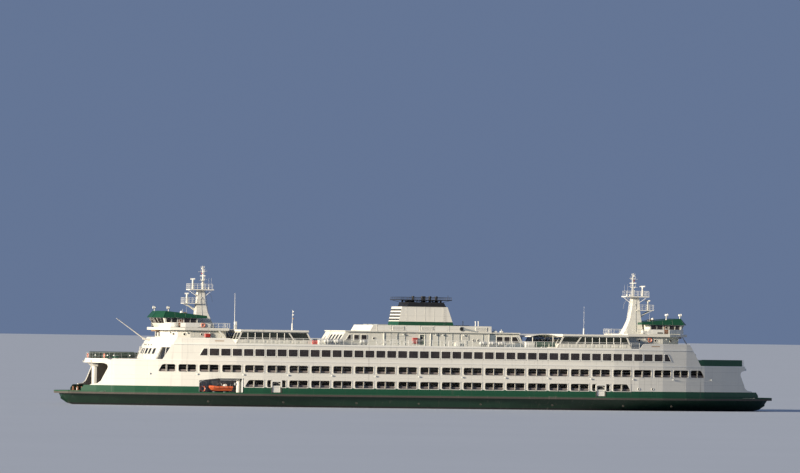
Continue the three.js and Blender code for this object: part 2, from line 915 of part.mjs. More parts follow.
const FUNNEL = {
  low: TIER.high + SEAM,
  shoulder: 18.85,
  lap: 0.05,
  high: 19.7,
  foot: [-5.2, 5.65],
  head: [-4.5, 4.4],
  side: 3.3,
  topFoot: [-3.4, 4.2],
  topHead: [-3.1, 3.7],
  topSide: 3.1,
};
place(
  "funnel",
  join(
    prism(
      rectangle(...FUNNEL.foot, FUNNEL.side),
      FUNNEL.low,
      FUNNEL.shoulder,
      rectangle(...FUNNEL.head, FUNNEL.side),
    ),
    prism(
      rectangle(...FUNNEL.topFoot, FUNNEL.topSide),
      FUNNEL.shoulder - FUNNEL.lap,
      FUNNEL.high,
      rectangle(...FUNNEL.topHead, FUNNEL.topSide),
    ),
  ),
  "white",
);
const PIPES = { at: [-1.67, -1.06, 0.16, 1.12, 1.64, 2.26, 2.87], y: 1, radius: 0.25 };
const CAP = { low: 20.05, high: 20.2, pipes: 20.85, x: [-4.8, 5.2], side: 3.4 };
const CAP_LEGS = { at: [-2.7, 3.3], y: 2.4, half: 0.12 };
const capLegs = CAP_LEGS.at.flatMap((x) =>
  [-CAP_LEGS.y, CAP_LEGS.y].map((y) =>
    block(
      x - CAP_LEGS.half,
      x + CAP_LEGS.half,
      y - CAP_LEGS.half,
      y + CAP_LEGS.half,
      FUNNEL.high + SEAM,
      CAP.low + 0.05,
    ),
  ),
);
place(
  "funnel_cap",
  join(
    prism(rectangle(...CAP.x, CAP.side), CAP.low, CAP.high),
    ...capLegs,
    ...PIPES.at.map((x, i) => {
      const y = i % 2 ? PIPES.y : -PIPES.y;
      return bar([x, y, FUNNEL.high + SEAM], [x, y, CAP.pipes], PIPES.radius);
    }),
  ),
  "black",
);

// Glazed shelters on the sun deck, and the shade canopy beside the one at end b

const SHELTER = {
  foot: [23.65, 38.4],
  head: [24.8, 37.5],
  side: 10.5,
  glassLow: 12.35,
  glassHigh: 13.6,
  roof: 13.75,
  high: 14.15,
  eave: 0.2,
  sideEave: 0.3,
};
const PANE = { pitch: 1.42, share: 0.88, count: 8, start: 25.1 };
const END_PANES = { at: [-8.4, -5, -1.6, 1.8, 5.2], width: 3.1, x: [20, 42] };
function shelter() {
  const walls = room(
    rectangle(...SHELTER.foot, SHELTER.side),
    SUN_DECK + SEAM,
    SHELTER.roof,
    WALL,
    rectangle(...SHELTER.head, SHELTER.side),
  );
  const roof = prism(
    rectangle(
      SHELTER.head[0] - SHELTER.eave,
      SHELTER.head[1] + SHELTER.eave,
      SHELTER.side + SHELTER.sideEave,
    ),
    SHELTER.roof - 0.02,
    SHELTER.high,
  );
  const glass = [SHELTER.glassLow, SHELTER.glassHigh];
  const past = SHELTER.side + 1;
  const sidePanes = Array.from({ length: PANE.count }, (_, i) => {
    const x = PANE.start + i * PANE.pitch;
    return block(x, x + PANE.pitch * PANE.share, -past, past, ...glass);
  });
  const endPanes = END_PANES.at.map((y) =>
    block(...END_PANES.x, y, y + END_PANES.width, ...glass),
  );
  return cut(join(walls, roof), [...sidePanes, ...endPanes]);
}
placeBoth("shelter_b", "shelter_a", shelter(), "white");

const CANOPY = { from: 18.7, to: 24.1, low: 13.6, rise: 0.4, plate: 0.12, side: 9.8 };
const CANOPY_POSTS = { first: 0.5, last: 0.9, inset: 0.4, radius: 0.09 };
function canopy() {
  const steps = 8;
  const arc = (lift) =>
    Array.from({ length: steps + 1 }, (_, i) => {
      const t = i / steps;
      const x = CANOPY.from + (CANOPY.to - CANOPY.from) * t;
      return [x, CANOPY.low + lift + CANOPY.rise * 4 * t * (1 - t)];
    });
  const section = [...arc(0), ...arc(CANOPY.plate).reverse()];
  const skin = pullAcross(section, -CANOPY.side, CANOPY.side);
  const { first, last, inset: inside, radius } = CANOPY_POSTS;
  const posts = [CANOPY.from + first, CANOPY.to - last].flatMap((x) =>
    [-1, 1].map((side) => {
      const y = side * (CANOPY.side - inside);
      return bar([x, y, SUN_DECK + SEAM], [x, y, CANOPY.low + CANOPY.rise / 2], radius);
    }),
  );
  return join(skin, ...posts);
}
place("canopy", canopy(), "white");

// Bridge house, bridge deck, pilothouse and its green roof

const BRIDGE_HOUSE = [
  [39.2, 6.3],
  [46, 6.3],
  [48.3, 5.6],
  [49.8, 4.2],
  [50.5, 2.2],
];
const BRIDGE_PLATE_LOW = 13.87;
const BRIDGE_PLAN = [
  [38.8, 6.9],
  [47.2, 6.9],
  [49.8, 6],
  [51.5, 4.3],
  [51.9, 1.6],
];
const REAR_DOORWAY = { x: [38, 40.5], half: 0.55, sill: 0.15, high: 13.5 };
placeBoth(
  "bridge_house_b",
  "bridge_house_a",
  cut(room(closedPlan(BRIDGE_HOUSE), SUN_DECK + SEAM, BRIDGE_PLATE_LOW - SEAM), [
    block(
      ...REAR_DOORWAY.x,
      -REAR_DOORWAY.half,
      REAR_DOORWAY.half,
      SUN_DECK + REAR_DOORWAY.sill,
      REAR_DOORWAY.high,
    ),
  ]),
  "white",
);
placeBoth(
  "bridge_deck_b",
  "bridge_deck_a",
  prism(closedPlan(BRIDGE_PLAN), BRIDGE_PLATE_LOW, BRIDGE_DECK),
  "white",
);

const PILOT = { high: 16.14, sill: 15.2, head: 16.0, side: 4.2, wall: 0.15 };
const PILOT_FOOT = [
  [44.1, 4.2],
  [50.15, 4.2],
  [50.9, 1.4],
];
const PILOT_HEAD = [
  [44.1, 4.2],
  [50.5, 4.2],
  [51.9, 1.5],
];
const PILOT_DOOR = { from: 46.9, to: 47.8, low: 14.45, high: 16.02 };
// The front windows to one side of the middle, as [where, width], across the ship
const PILOT_FRONT_X = [49.5, 52.5];
const PILOT_FRONT_WINDOWS = [
  [0.95, 0.74],
  [1.85, 0.62],
  [2.7, 0.62],
  [3.5, 0.62],
];
const PILOT_SIDE_WINDOWS = [
  [44.4, 45.4],
  [45.6, 46.6],
  [48.05, 48.95],
  [49.2, 50],
];
function pilothouse() {
  const walls = room(
    closedPlan(PILOT_FOOT),
    BRIDGE_DECK + SEAM,
    PILOT.high,
    PILOT.wall,
    closedPlan(PILOT_HEAD),
  );
  const [[, midWidth]] = PILOT_FRONT_WINDOWS;
  const front = (y, width) =>
    block(...PILOT_FRONT_X, y - width / 2, y + width / 2, PILOT.sill, PILOT.head);
  const fronts = [
    front(0, midWidth),
    ...PILOT_FRONT_WINDOWS.flatMap(([y, width]) => [front(-y, width), front(y, width)]),
  ];
  const past = PILOT.side + 1;
  const sides = PILOT_SIDE_WINDOWS.map((x) => block(...x, -past, past, PILOT.sill, PILOT.head));
  const doorways = block(
    PILOT_DOOR.from,
    PILOT_DOOR.to,
    -past,
    past,
    PILOT_DOOR.low,
    PILOT_DOOR.high,
  );
  return cut(walls, [...fronts, ...sides, doorways]);
}
placeBoth("pilothouse_b", "pilothouse_a", pilothouse(), "white");

function pilotDoor(side) {
  const y0 = PILOT.side - LEAF;
  const y = [side * y0, side * PILOT.side].sort((a, b) => a - b);
  return block(
    PILOT_DOOR.from + SEAM,
    PILOT_DOOR.to - RUNNING,
    ...y,
    PILOT_DOOR.low + RUNNING,
    PILOT_DOOR.high - RUNNING,
  );
}
placeBoth("door_starboard_b", "door_port_a", pilotDoor(-1), "wood");
placeBoth("door_port_b", "door_starboard_a", pilotDoor(1), "wood");

const ROOF_EAVE = [
  [42.4, 1.9],
  [42.4, 4.7],
  [50.75, 4.7],
  [52.2, 1.7],
];
const ROOF_CREST = [
  [42.6, 1.9],
  [42.6, 4.2],
  [50.2, 4.2],
  [51.2, 1.5],
];
const ROOF = { low: PILOT.high + SEAM, high: 17.35, notch: [40, 43.9], notchHalf: 1.95 };
// What is taken off the roof's top, which falls towards the mast
const ROOF_FALL = [
  [40, 16.28],
  [50.2, ROOF.high],
  [53, ROOF.high + 0.1],
  [53, ROOF.high + 1],
  [40, ROOF.high + 1],
];
function roofSolid() {
  const notch = block(
    ...ROOF.notch,
    -ROOF.notchHalf,
    ROOF.notchHalf,
    ROOF.low - 1,
    ROOF.high + 1,
  );
  const whole = prism(
    closedPlan(ROOF_EAVE),
    ROOF.low,
    ROOF.high,
    closedPlan(ROOF_CREST),
  );
  const past = PILOT.side + 1;
  return cut(whole, [notch, pullAcross(ROOF_FALL, -past, past)]);
}
placeBoth("pilothouse_roof_b", "pilothouse_roof_a", roofSolid(), "green");

// Masts with their platforms, and the turning radar scanners

const TOWER_SIDE = [
  [39.9, BRIDGE_DECK + SEAM],
  [40.6, 15.6],
  [41.3, 17.2],
  [41.7, 19.2],
  [41.94, 21.3],
  [43.1, 21.3],
  [43.8, BRIDGE_DECK + SEAM],
];
// Half the tower's breadth, as [y, z], where it draws in from the foot
const TOWER_FRONT = [
  [0.65, 22],
  [0.7, 18],
  [1.5, BRIDGE_DECK - 1],
];
const STRUT = [
  [42.9, 16.9],
  [42.9, 17.25],
  [45.2, 18.8],
  [45.5, 18.8],
];
const MAST = {
  half: 1.5,
  room: [38, 46],
  strutHalf: 0.1,
  lower: { x: [42.6, 45.96], z: [18.78, 18.92], half: 1.1 },
  upper: { x: [40.3, 44.9], z: [21.3, 21.5], half: 1.4 },
  pole: { x: 42.1, foot: 21.4, top: 25.8, radius: 0.18, tip: 0.09 },
  yard: { z: 23.9, half: 1.8, thick: 0.12 },
};
const SCANNERS = [
  { name: "upper", x: 44.0, foot: 21.4, z: 23.05, half: 1.25 },
  { name: "lower", x: 45.1, foot: 18.85, z: 20.35, half: 1.1 },
];
const SCANNER = { post: 0.22, neck: 0.16, hubHigh: 0.25, beam: [0.2, 0.42], beamHalf: 0.11 };
function mast() {
  const { pole, yard } = MAST;
  const tower = pullAcross(TOWER_SIDE, -MAST.half, MAST.half);
  const outside = MAST.half * 1.3;
  const [[, top]] = TOWER_FRONT;
  const waist = [1, -1].map((side) =>
    pullAlong(
      [
        [side * outside, BRIDGE_DECK - 1],
        [side * outside, top],
        ...TOWER_FRONT.map(([y, z]) => [side * y, z]),
      ],
      ...MAST.room,
    ),
  );
  const plate = ({ x, z, half }) => block(...x, -half, half, ...z);
  const strut = pullAcross(STRUT, -MAST.strutHalf, MAST.strutHalf);
  const topmast = bar([pole.x, 0, pole.foot], [pole.x, 0, pole.top], pole.radius, 8, pole.tip);
  const crossbar = block(
    pole.x - yard.thick / 2,
    pole.x + yard.thick / 2,
    -yard.half,
    yard.half,
    yard.z,
    yard.z + yard.thick,
  );
  const posts = SCANNERS.map(({ x, foot, z }) =>
    bar([x, 0, foot], [x, 0, z], SCANNER.post, 8, SCANNER.neck),
  );
  return join(
    cut(tower, waist),
    plate(MAST.lower),
    plate(MAST.upper),
    strut,
    topmast,
    crossbar,
    ...posts,
  );
}
placeBoth("mast_b", "mast_a", mast(), "white");
for (const { name, x, z, half } of SCANNERS) {
  const { neck, hubHigh, beamHalf } = SCANNER;
  const [low, high] = SCANNER.beam;
  const hub = bar([x, 0, z + SEAM], [x, 0, z + hubHigh], neck);
  const beam = block(x - beamHalf, x + beamHalf, -half, half, z + low, z + high);
  placeBoth(`radar_${name}_b`, `radar_${name}_a`, join(hub, beam), "white");
}

// Rescue boat and the slewing davit that carries it

const DAVIT = {
  x: -38.25,
  y: -11.7,
  radius: 0.38,
  high: 5.02,
  reach: -41.6,
  tipHalf: 0.1,
  rootHalf: 0.2,
  armDepth: 0.28,
  hookIn: 0.08,
};
function davit() {
  const foot = [DAVIT.x, DAVIT.y, VEHICLE_DECK + SEAM];
  const post = bar(foot, [DAVIT.x, DAVIT.y, DAVIT.high], DAVIT.radius, 10);
  const arm = loft(
    [
      [DAVIT.reach, BOAT.y, DAVIT.tipHalf],
      [DAVIT.x, DAVIT.y, DAVIT.rootHalf],
    ].map(([x, y, half]) => [
      [x, y - half, DAVIT.high - DAVIT.armDepth],
      [x, y + half, DAVIT.high - DAVIT.armDepth],
      [x, y + half, DAVIT.high],
      [x, y - half, DAVIT.high],
    ]),
    ([, y, z]) => [y, z],
  );
  return join(post, arm);
}
placeBoth("davit_a", "davit_b", davit(), "white");

function rescueBoat() {
  const { bow, stern, y, half, keel, rim } = BOAT;
  // Columns: place along the boat, half-breadth, bottom height.
  const rows = [
    [bow, 0.12, rim - 0.3],
    [bow + 0.9, half * 0.7, keel + 0.25],
    [bow + 2, half, keel],
    [stern, half * 0.92, keel],
  ];
  const shellRings = rows.map(([x, w, low]) => [
    [x, y - w * 0.35, low],
    [x, y + w * 0.35, low],
    [x, y + w, (low + rim) / 2 + 0.1],
    [x, y + w * 0.92, rim],
    [x, y - w * 0.92, rim],
    [x, y - w, (low + rim) / 2 + 0.1],
  ]);
  const outside = loft(shellRings, ([, py, pz]) => [py, pz]);
  const side = half * 0.6;
  const well = block(bow + 1.1, stern - 0.25, y - side, y + side, keel + 0.35, rim + 1);
  const console = block(stern - 1.5, stern - 0.9, y - 0.3, y + 0.3, keel + 0.3, rim + 0.45);
  const hook = DAVIT.reach + DAVIT.hookIn;
  const arm = DAVIT.high - DAVIT.armDepth;
  const lift = bar([hook, y, keel + 0.3], [hook, y, arm - SEAM], 0.05);
  return join(cut(outside, [well]), console, lift);
}
placeBoth("rescue_boat_a", "rescue_boat_b", rescueBoat(), "orange");

// Propellers and rudders

function propeller() {
  const hubFrom = SKEG.to + SEAM;
  const hubTo = SKEG.to + 1.4;
  const hub = bar([hubFrom, 0, PROPELLER.z], [hubTo, 0, PROPELLER.z], PROPELLER.hub, 12, 0.22);
  const blades = Array.from({ length: PROPELLER.blades }, (_, i) => {
    const angle = (i * 2 * Math.PI) / PROPELLER.blades + 0.4;
    // Columns: radius, half-chord, twist in radians.
    const rows = [
      [0.2, 0.3, 1.05],
      [0.9, 0.62, 0.75],
      [1.5, 0.72, 0.55],
      [PROPELLER.radius, 0.3, 0.45],
    ];
    const rings = rows.map(([radius, chord, twist]) => {
      const along = Math.sin(twist) * chord;
      const round = Math.cos(twist) * chord;
      const thick = 0.06;
      const corners = [
        [-along - thick, -round],
        [thick - along, -round],
        [along + thick, round],
        [along - thick, round],
      ];
      return corners.map(([dx, side]) => [
        PROPELLER.x + dx,
        radius * Math.cos(angle) - side * Math.sin(angle),
        PROPELLER.z + radius * Math.sin(angle) + side * Math.cos(angle),
      ]);
    });
    const outward = ([x, y, z]) => [
      x,
      -(y * -Math.sin(angle) + (z - PROPELLER.z) * Math.cos(angle)),
    ];
    return loft(rings, outward);
  });
  return join(hub, ...blades);
}
placeBoth("propeller_b", "propeller_a", propeller(), "bronze");

function rudder() {
  const { stock, front, back, low, pad } = RUDDER;
  const top = pad - RUNNING;
  const plan = [
    [front, 0],
    [front + 0.5, 0.22],
    [stock + 0.4, 0.24],
    [back, 0.04],
  ];
  const blade = prism([...plan, ...mirrorY(plan.slice(1))], low, top);
  const pin = bar([stock, 0, low + 0.2], [stock, 0, pad - SEAM], 0.19, 10);
  return join(blade, pin);
}
placeBoth("rudder_b", "rudder_a", rudder(), "darkGreen");

// Jackstaffs on the ends of the sun deck: the one at end a is out, the one at end b is short and folded in

const STAFFS = [
  { name: "jackstaff_a", side: -1, length: 6.4, rise: 35 },
  { name: "jackstaff_b", side: 1, length: 2, rise: 121 },
];
for (const { name, side, length, rise } of STAFFS) {
  const angle = THREE.MathUtils.degToRad(rise);
  const foot = [side * STAFF.x, 0, STAFF.z];
  const tip = [
    side * (STAFF.x + length * Math.cos(angle)),
    0,
    STAFF.z + length * Math.sin(angle),
  ];
  const eye = bar(
    [foot[0], -STAFF.half, foot[2]],
    [foot[0], STAFF.half, foot[2]],
    STAFF.eye,
    16,
  );
  place(name, join(eye, bar(foot, tip, STAFF.radius, 8, STAFF.tip)), "white");
}

export default ship;
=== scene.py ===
"""A double-ended car ferry, built as a 1:10 model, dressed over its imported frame.

Sizes in the classes below are metres of the real ship, from its centre at the waterline: x along the
ship, y across it with the starboard side at -y, and z up. Shape.finish turns them into model metres.
"""
import json
import logging
import math
from dataclasses import dataclass
from enum import Enum
from functools import cache
from typing import Iterable, Sequence

import bmesh
import bpy
from mathutils import Matrix, Vector

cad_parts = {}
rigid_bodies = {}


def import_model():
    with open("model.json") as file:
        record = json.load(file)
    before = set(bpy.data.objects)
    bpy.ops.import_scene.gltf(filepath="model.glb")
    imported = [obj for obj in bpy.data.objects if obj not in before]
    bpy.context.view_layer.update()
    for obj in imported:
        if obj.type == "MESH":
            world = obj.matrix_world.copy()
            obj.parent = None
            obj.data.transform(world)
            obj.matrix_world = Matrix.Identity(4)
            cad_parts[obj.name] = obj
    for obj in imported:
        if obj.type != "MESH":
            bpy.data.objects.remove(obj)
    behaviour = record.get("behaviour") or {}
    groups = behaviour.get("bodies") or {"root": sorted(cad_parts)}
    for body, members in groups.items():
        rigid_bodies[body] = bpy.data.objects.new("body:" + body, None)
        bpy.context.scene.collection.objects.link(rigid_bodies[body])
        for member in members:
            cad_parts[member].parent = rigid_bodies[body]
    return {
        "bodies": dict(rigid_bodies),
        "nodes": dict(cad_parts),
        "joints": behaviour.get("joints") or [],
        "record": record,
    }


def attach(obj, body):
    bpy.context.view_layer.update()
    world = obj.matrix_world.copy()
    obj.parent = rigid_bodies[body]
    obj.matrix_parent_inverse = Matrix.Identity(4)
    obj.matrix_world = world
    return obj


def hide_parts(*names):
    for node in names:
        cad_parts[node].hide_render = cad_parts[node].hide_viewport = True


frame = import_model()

MODEL_SCALE = 0.1
SHIP = "ship"

Point = Sequence[float]
Pair = tuple[float, float]
Colour = tuple[float, float, float]
UP = (0, 0, 1)
ALONG = (1, 0, 0)
TO_PORT = (0, 1, 0)
log = logging.getLogger("ferry")


# Shader expressions


class Wire:
    """The output of a shader node. Arithmetic on it adds Math nodes."""

    def __init__(self, shader: "Shader", socket: bpy.types.NodeSocket) -> None:
        """Keeps the socket and the shader it belongs to."""
        self.shader = shader
        self.socket = socket

    def math(self, operation: str, *others: "Wire | float") -> "Wire":
        """Puts this output and the others through one Math node.

        Args:
            operation: the Math node's operation.
            others: its further values.

        Returns:
            The result.
        """
        values = dict(enumerate((self, *others)))
        return self.shader.node("ShaderNodeMath", {"operation": operation}, values)

    def __add__(self, other: "Wire | float") -> "Wire":
        """Sum."""
        return self.math("ADD", other)

    def __sub__(self, other: "Wire | float") -> "Wire":
        """Difference."""
        return self.math("SUBTRACT", other)

    def __rsub__(self, other: float) -> "Wire":
        """Difference from a number."""
        return self.math("MULTIPLY_ADD", -1.0, other)

    def __mul__(self, other: "Wire | float") -> "Wire":
        """Product."""
        return self.math("MULTIPLY", other)

    def __truediv__(self, other: float) -> "Wire":
        """Quotient."""
        return self.math("DIVIDE", other)

    def step(self, low: float, high: float) -> "Wire":
        """A smooth step of this value.

        Args:
            low: where the step is 0.
            high: where it is 1, above or below low.

        Returns:
            The step.
        """
        return self.shader.node(
            "ShaderNodeMapRange",
            {"interpolation_type": "SMOOTHSTEP"},
            {"Value": self, "From Min": low, "From Max": high},
        )

    def lines(self, pitch: float, width: float) -> "Wire":
        """Narrow lines square to this length.

        Args:
            pitch: how far apart they are.
            width: how wide each is.

        Returns:
            1 on a line and 0 beside it.
        """
        away = (self / pitch).math("PINGPONG", 0.5) * pitch
        return away.step(width, width * 0.3)


class Shader:
    """A material's node tree in the making."""

    def __init__(self, name: str) -> None:
        """Starts an empty material.

        Args:
            name: the material's name.
        """
        self.material = bpy.data.materials.new(name)
        self.material.use_nodes = True
        self.tree = self.material.node_tree
        self.tree.nodes.clear()

    def node(
        self,
        kind: str,
        settings: dict[str, object] | None = None,
        inputs: dict[str | int, object] | None = None,
        output: int | str = 0,
    ) -> Wire:
        """Adds one node.

        Args:
            kind: the node's type.
            settings: its settings, set first. "stops" are a ramp's places and colours.
            inputs: values or wires for its sockets.
            output: which of its outputs is wanted.

        Returns:
            That output.
        """
        made = self.tree.nodes.new(kind)
        for key, value in (settings or {}).items():
            if key == "stops":
                ramp = made.color_ramp
                while len(ramp.elements) < len(value):
                    ramp.elements.new(0.5)
                for element, (place, colour) in zip(ramp.elements, value):
                    element.position = place
                    element.color = (*colour, 1)
            else:
                setattr(made, key, value)
        for key, value in (inputs or {}).items():
            if isinstance(value, Wire):
                self.tree.links.new(value.socket, made.inputs[key])
            else:
                made.inputs[key].default_value = value
        return Wire(self, made.outputs[output])

    def place(self, stretch: Point = (1, 1, 1), turn: Point = (0, 0, 0)) -> Wire:
        """The place on the ship in real metres.

        Args:
            stretch: how much each axis is drawn out further.
            turn: how far the axes are turned, in radians.

        Returns:
            The place, as a vector.
        """
        scale = tuple(s / MODEL_SCALE for s in stretch)
        here = self.node("ShaderNodeTexCoord", output="Object")
        return self.node("ShaderNodeMapping", {}, {"Vector": here, "Scale": scale, "Rotation": tuple(turn)})

    def axis(self, place: Wire, name: str) -> Wire:
        """One axis of a place: X, Y or Z."""
        return self.node("ShaderNodeSeparateXYZ", {}, {0: place}, name)

    def noise(self, place: Wire, scale: float, detail: float = 3, rough: float = 0.55) -> Wire:
        """Cloudy noise.

        Args:
            place: where it is read.
            scale: how many clouds there are to a metre.
            detail: how many finer layers lie on it.
            rough: how strong these are.

        Returns:
            The noise, around 0.5.
        """
        values = {"Vector": place, "Scale": scale, "Detail": detail, "Roughness": rough}
        return self.node("ShaderNodeTexNoise", {}, values)

    def cells(self, place: Wire, scale: float, output: str = "Distance") -> Wire:
        """Cells around scattered points, as their distance or colour."""
        return self.node("ShaderNodeTexVoronoi", {}, {"Vector": place, "Scale": scale}, output)

    def mix(self, share: Wire | float, first: Wire | Colour, second: Wire | Colour) -> Wire:
        """A mix of two colours.

        Args:
            share: how much of the second there is.
            first: the colour at 0.
            second: the colour at 1.

        Returns:
            The mixed colour.
        """
        full = [c if isinstance(c, Wire) else (*c, 1) for c in (first, second)]
        values = {"Factor": share, 6: full[0], 7: full[1]}
        return self.node("ShaderNodeMix", {"data_type": "RGBA"}, values, 2)

    def bump(self, height: Wire, depth: float, strength: float = 1) -> Wire:
        """The surface's normal over a height.

        Args:
            height: the height, from 0 to 1.
            depth: what a height of 1 stands for, in real metres.
            strength: how much of it shows.

        Returns:
            The normal.
        """
        values = {"Height": height, "Distance": depth * MODEL_SCALE, "Strength": strength}
        return self.node("ShaderNodeBump", {}, values)

    def surface(self, **sockets: object) -> bpy.types.Material:
        """Ends the material in a Principled shader.

        Args:
            sockets: values or wires, named as the shader's sockets with _ for a space.

        Returns:
            The material.
        """
        named = {key.replace("_", " "): value for key, value in sockets.items()}
        made = self.node("ShaderNodeBsdfPrincipled", {}, named)
        out = self.tree.nodes.new("ShaderNodeOutputMaterial")
        self.tree.links.new(made.socket, out.inputs["Surface"])
        return self.material


# Finishes


@dataclass(frozen=True)
class Finish:
    """What a surface is made of.

    Attributes:
        name: the material's name.
        colour: its main colour.
        slot: the record's material slot that it stands for; not used.
        rough: its roughness.
    """

    name: str
    colour: Colour
    slot: str
    rough: float = 0.5

    def shade(self, shader: Shader) -> bpy.types.Material:
        """Fills the shader in. Each kind of finish has its own way."""
        raise NotImplementedError

    def material(self) -> bpy.types.Material:
        """The finish as a material, made once."""
        return material_of(self)


@cache
def material_of(finish: Finish) -> bpy.types.Material:
    """A finish's material, made the first time that it is asked for."""
    return finish.shade(Shader(finish.name))


def shaded(colour: Colour, share: float) -> Colour:
    """A colour made darker, or lighter with a share above 1."""
    return tuple(min(1.0, channel * share) for channel in colour)


RUST = (0.19, 0.085, 0.04)
GRIME = (0.13, 0.115, 0.095)
PRIMER = (0.2, 0.045, 0.03)


@dataclass(frozen=True)
class Paint(Finish):
    """Ship's paint on steel plate, with its seams, drifting tone, rain streaks and rust.

    Attributes:
        bands: paints above one another, as (height, colour), the first from below.
        streak: how strong the rain and rust streaks are.
        drift: how far the tone drifts.
        plate: how long and high one plate is, or 0 for none.
        metal: how metallic it is.
        coat: how thick its gloss coat is.
        wander: how far the edges between bands wander.
        deck: the height below which what faces up is painted as deck, and that paint.
    """

    bands: tuple[tuple[float, Colour], ...] = ()
    streak: float = 0.35
    drift: float = 0.1
    plate: Pair = (6.1, 2.45)
    metal: float = 0.0
    coat: float = 0.0
    wander: float = 0.0
    deck: tuple[float, Colour] | None = None

    def tint(self, shader: Shader, place: Wire) -> Wire | Colour:
        """The paint's clean colour, band over band.

        Args:
            shader: the material in the making.
            place: the place on the ship, in real metres.

        Returns:
            The colour.
        """
        clean = self.colour
        height = shader.axis(place, "Z") + shader.noise(place, 0.8) * self.wander
        for level, colour in self.bands:
            clean = shader.mix(height.step(level - 0.02, level + 0.02), clean, colour)
        if self.deck:
            level, colour = self.deck
            up = shader.axis(shader.node("ShaderNodeTexCoord", output="Normal"), "Z").step(0.6, 0.8)
            clean = shader.mix(up * height.step(level + 0.01, level), clean, colour)
        return clean

    def shade(self, shader: Shader) -> bpy.types.Material:
        """Paint over plate.

        Args:
            shader: the material in the making.

        Returns:
            The material.
        """
        place = shader.place()
        clouds = shader.noise(place, 0.22, 4)
        grain = shader.noise(place, 9.0, 2)
        runs = shader.noise(shader.place((1.7, 1.7, 0.09)), 1.0, 4)
        where = shader.noise(place, 0.13, 2).step(0.42, 0.62)
        stain = runs.step(0.56, 0.74) * where * self.streak
        chips = shader.noise(place, 2.6, 5, 0.7).step(0.68, 0.72) * where * (self.streak * 0.8)
        tone = (clouds - 0.5) * (2 * self.drift) + (grain - 0.5) * (0.6 * self.drift)
        clean = self.tint(shader, place)
        light = shader.mix((tone + 0.5).step(0.25, 0.75), shade_of(shader, clean, 0.86), clean)
        dirty = shader.mix(stain, light, GRIME)
        colour = shader.mix(chips, dirty, RUST)
        seams = self.seams(shader, place)
        colour = shader.mix(seams * 0.22, colour, GRIME)
        height = grain * 0.3 + clouds * 0.5 - seams * 0.8 - chips * 0.5
        return shader.surface(
            Base_Color=colour,
            Roughness=grain * 0.12 + stain * 0.25 + (self.rough - 0.06),
            Metallic=self.metal,
            Coat_Weight=self.coat,
            Normal=shader.bump(height, 0.02, 0.5),
        )

    def seams(self, shader: Shader, place: Wire) -> Wire:
        """The welded seams between the plates.

        Args:
            shader: the material in the making.
            place: the place on the ship, in real metres.

        Returns:
            1 on a seam and 0 beside it.
        """
        length, high = self.plate
        if not length:
            return shader.noise(place, 30.0).step(0.7, 0.8) * 0.3
        across = shader.axis(place, "Z").lines(high, 0.035)
        along = shader.axis(place, "X").lines(length, 0.035)
        return across.math("MAXIMUM", along)


def shade_of(shader: Shader, colour: Wire | Colour, share: float) -> Wire | Colour:
    """A colour or a wire of one, made darker.

    Args:
        shader: the material in the making.
        colour: the colour.
        share: how bright what comes back is, as a share.

    Returns:
        The darker colour.
    """
    if isinstance(colour, Wire):
        return shader.mix(1 - share, colour, (0.0, 0.0, 0.0))
    return shaded(colour, share)


@dataclass(frozen=True)
class DeckPaint(Finish):
    """Gritty deck paint, worn along the ways that are walked or driven.

    Attributes:
        worn: the colour of the worn ways.
    """

    worn: Colour = (0.2, 0.17, 0.15)

    def shade(self, shader: Shader) -> bpy.types.Material:
        """Grit, scuffs, puddle marks and wear.

        Args:
            shader: the material in the making.

        Returns:
            The material.
        """
        place = shader.place()
        grit = shader.cells(place, 22.0)
        clouds = shader.noise(place, 0.5, 5)
        scuffs = shader.noise(shader.place((0.2, 3.0, 1.0)), 1.2, 4).step(0.52, 0.7)
        marks = shader.noise(place, 0.9, 2).step(0.55, 0.6) * 0.3
        colour = shader.mix(clouds.step(0.3, 0.7), self.colour, shaded(self.colour, 1.3))
        colour = shader.mix(scuffs * 0.6, colour, self.worn)
        colour = shader.mix(marks, colour, GRIME)
        return shader.surface(
            Base_Color=colour,
            Roughness=grit * 0.2 + clouds * 0.1 + (self.rough - 0.1),
            Normal=shader.bump(grit + scuffs * 0.4, 0.006, 0.6),
        )


@dataclass(frozen=True)
class Glass(Finish):
    """Tinted window glass with a salt film on it; its dark colour is painted shade that stands for the dim
    room behind it.

    Attributes:
        see_through: how much shows through it.
        room: the brightest tone of the room behind, painted light on some panes, as a share of the glass's
            colour.
    """

    see_through: float = 0.0
    room: float = 1.6

    def shade(self, shader: Shader) -> bpy.types.Material:
        """Dark glass as painted shade of the room behind, lighter on some panes as painted light from that
        room.

        Args:
            shader: the material in the making.

        Returns:
            The material.
        """
        place = shader.place()
        pane = shader.noise(shader.place((1.0, 1.0, 0.3)), 0.7, 2)
        salt = shader.noise(place, 5.0, 4).step(0.45, 0.85)
        # Some panes drift towards the lighter tone: painted light of the room behind.
        colour = shader.mix(pane.step(0.4, 0.65), self.colour, shaded(self.colour, self.room))
        colour = shader.mix(salt * 0.12, colour, (0.5, 0.52, 0.5))
        return shader.surface(
            Base_Color=colour,
            Roughness=salt * 0.15 + self.rough,
            Alpha=salt * 0.1 + (1.0 - self.see_through),
            Normal=shader.bump(pane, 0.004, 0.2),
        )


@dataclass(frozen=True)
class Metal(Finish):
    """Bare or lightly worn metal, with brush marks and tarnish.

    Attributes:
        tarnish: the tarnish's colour.
        worn: how much of the metal it covers.
    """

    tarnish: Colour = (0.12, 0.1, 0.08)
    worn: float = 0.4

    def shade(self, shader: Shader) -> bpy.types.Material:
        """Brushed metal under patchy tarnish.

        Args:
            shader: the material in the making.

        Returns:
            The material.
        """
        place = shader.place()
        patches = shader.noise(place, 1.1, 5, 0.65)
        brushed = shader.noise(shader.place((0.6, 6.0, 6.0)), 6.0, 3)
        cover = patches.step(0.42, 0.66) * self.worn
        colour = shader.mix(cover, self.colour, self.tarnish)
        return shader.surface(
            Base_Color=colour,
            Roughness=brushed * 0.15 + cover * 0.3 + (self.rough - 0.07),
            Metallic=1 - cover * 0.8,
            Normal=shader.bump(brushed + patches, 0.004, 0.5),
        )


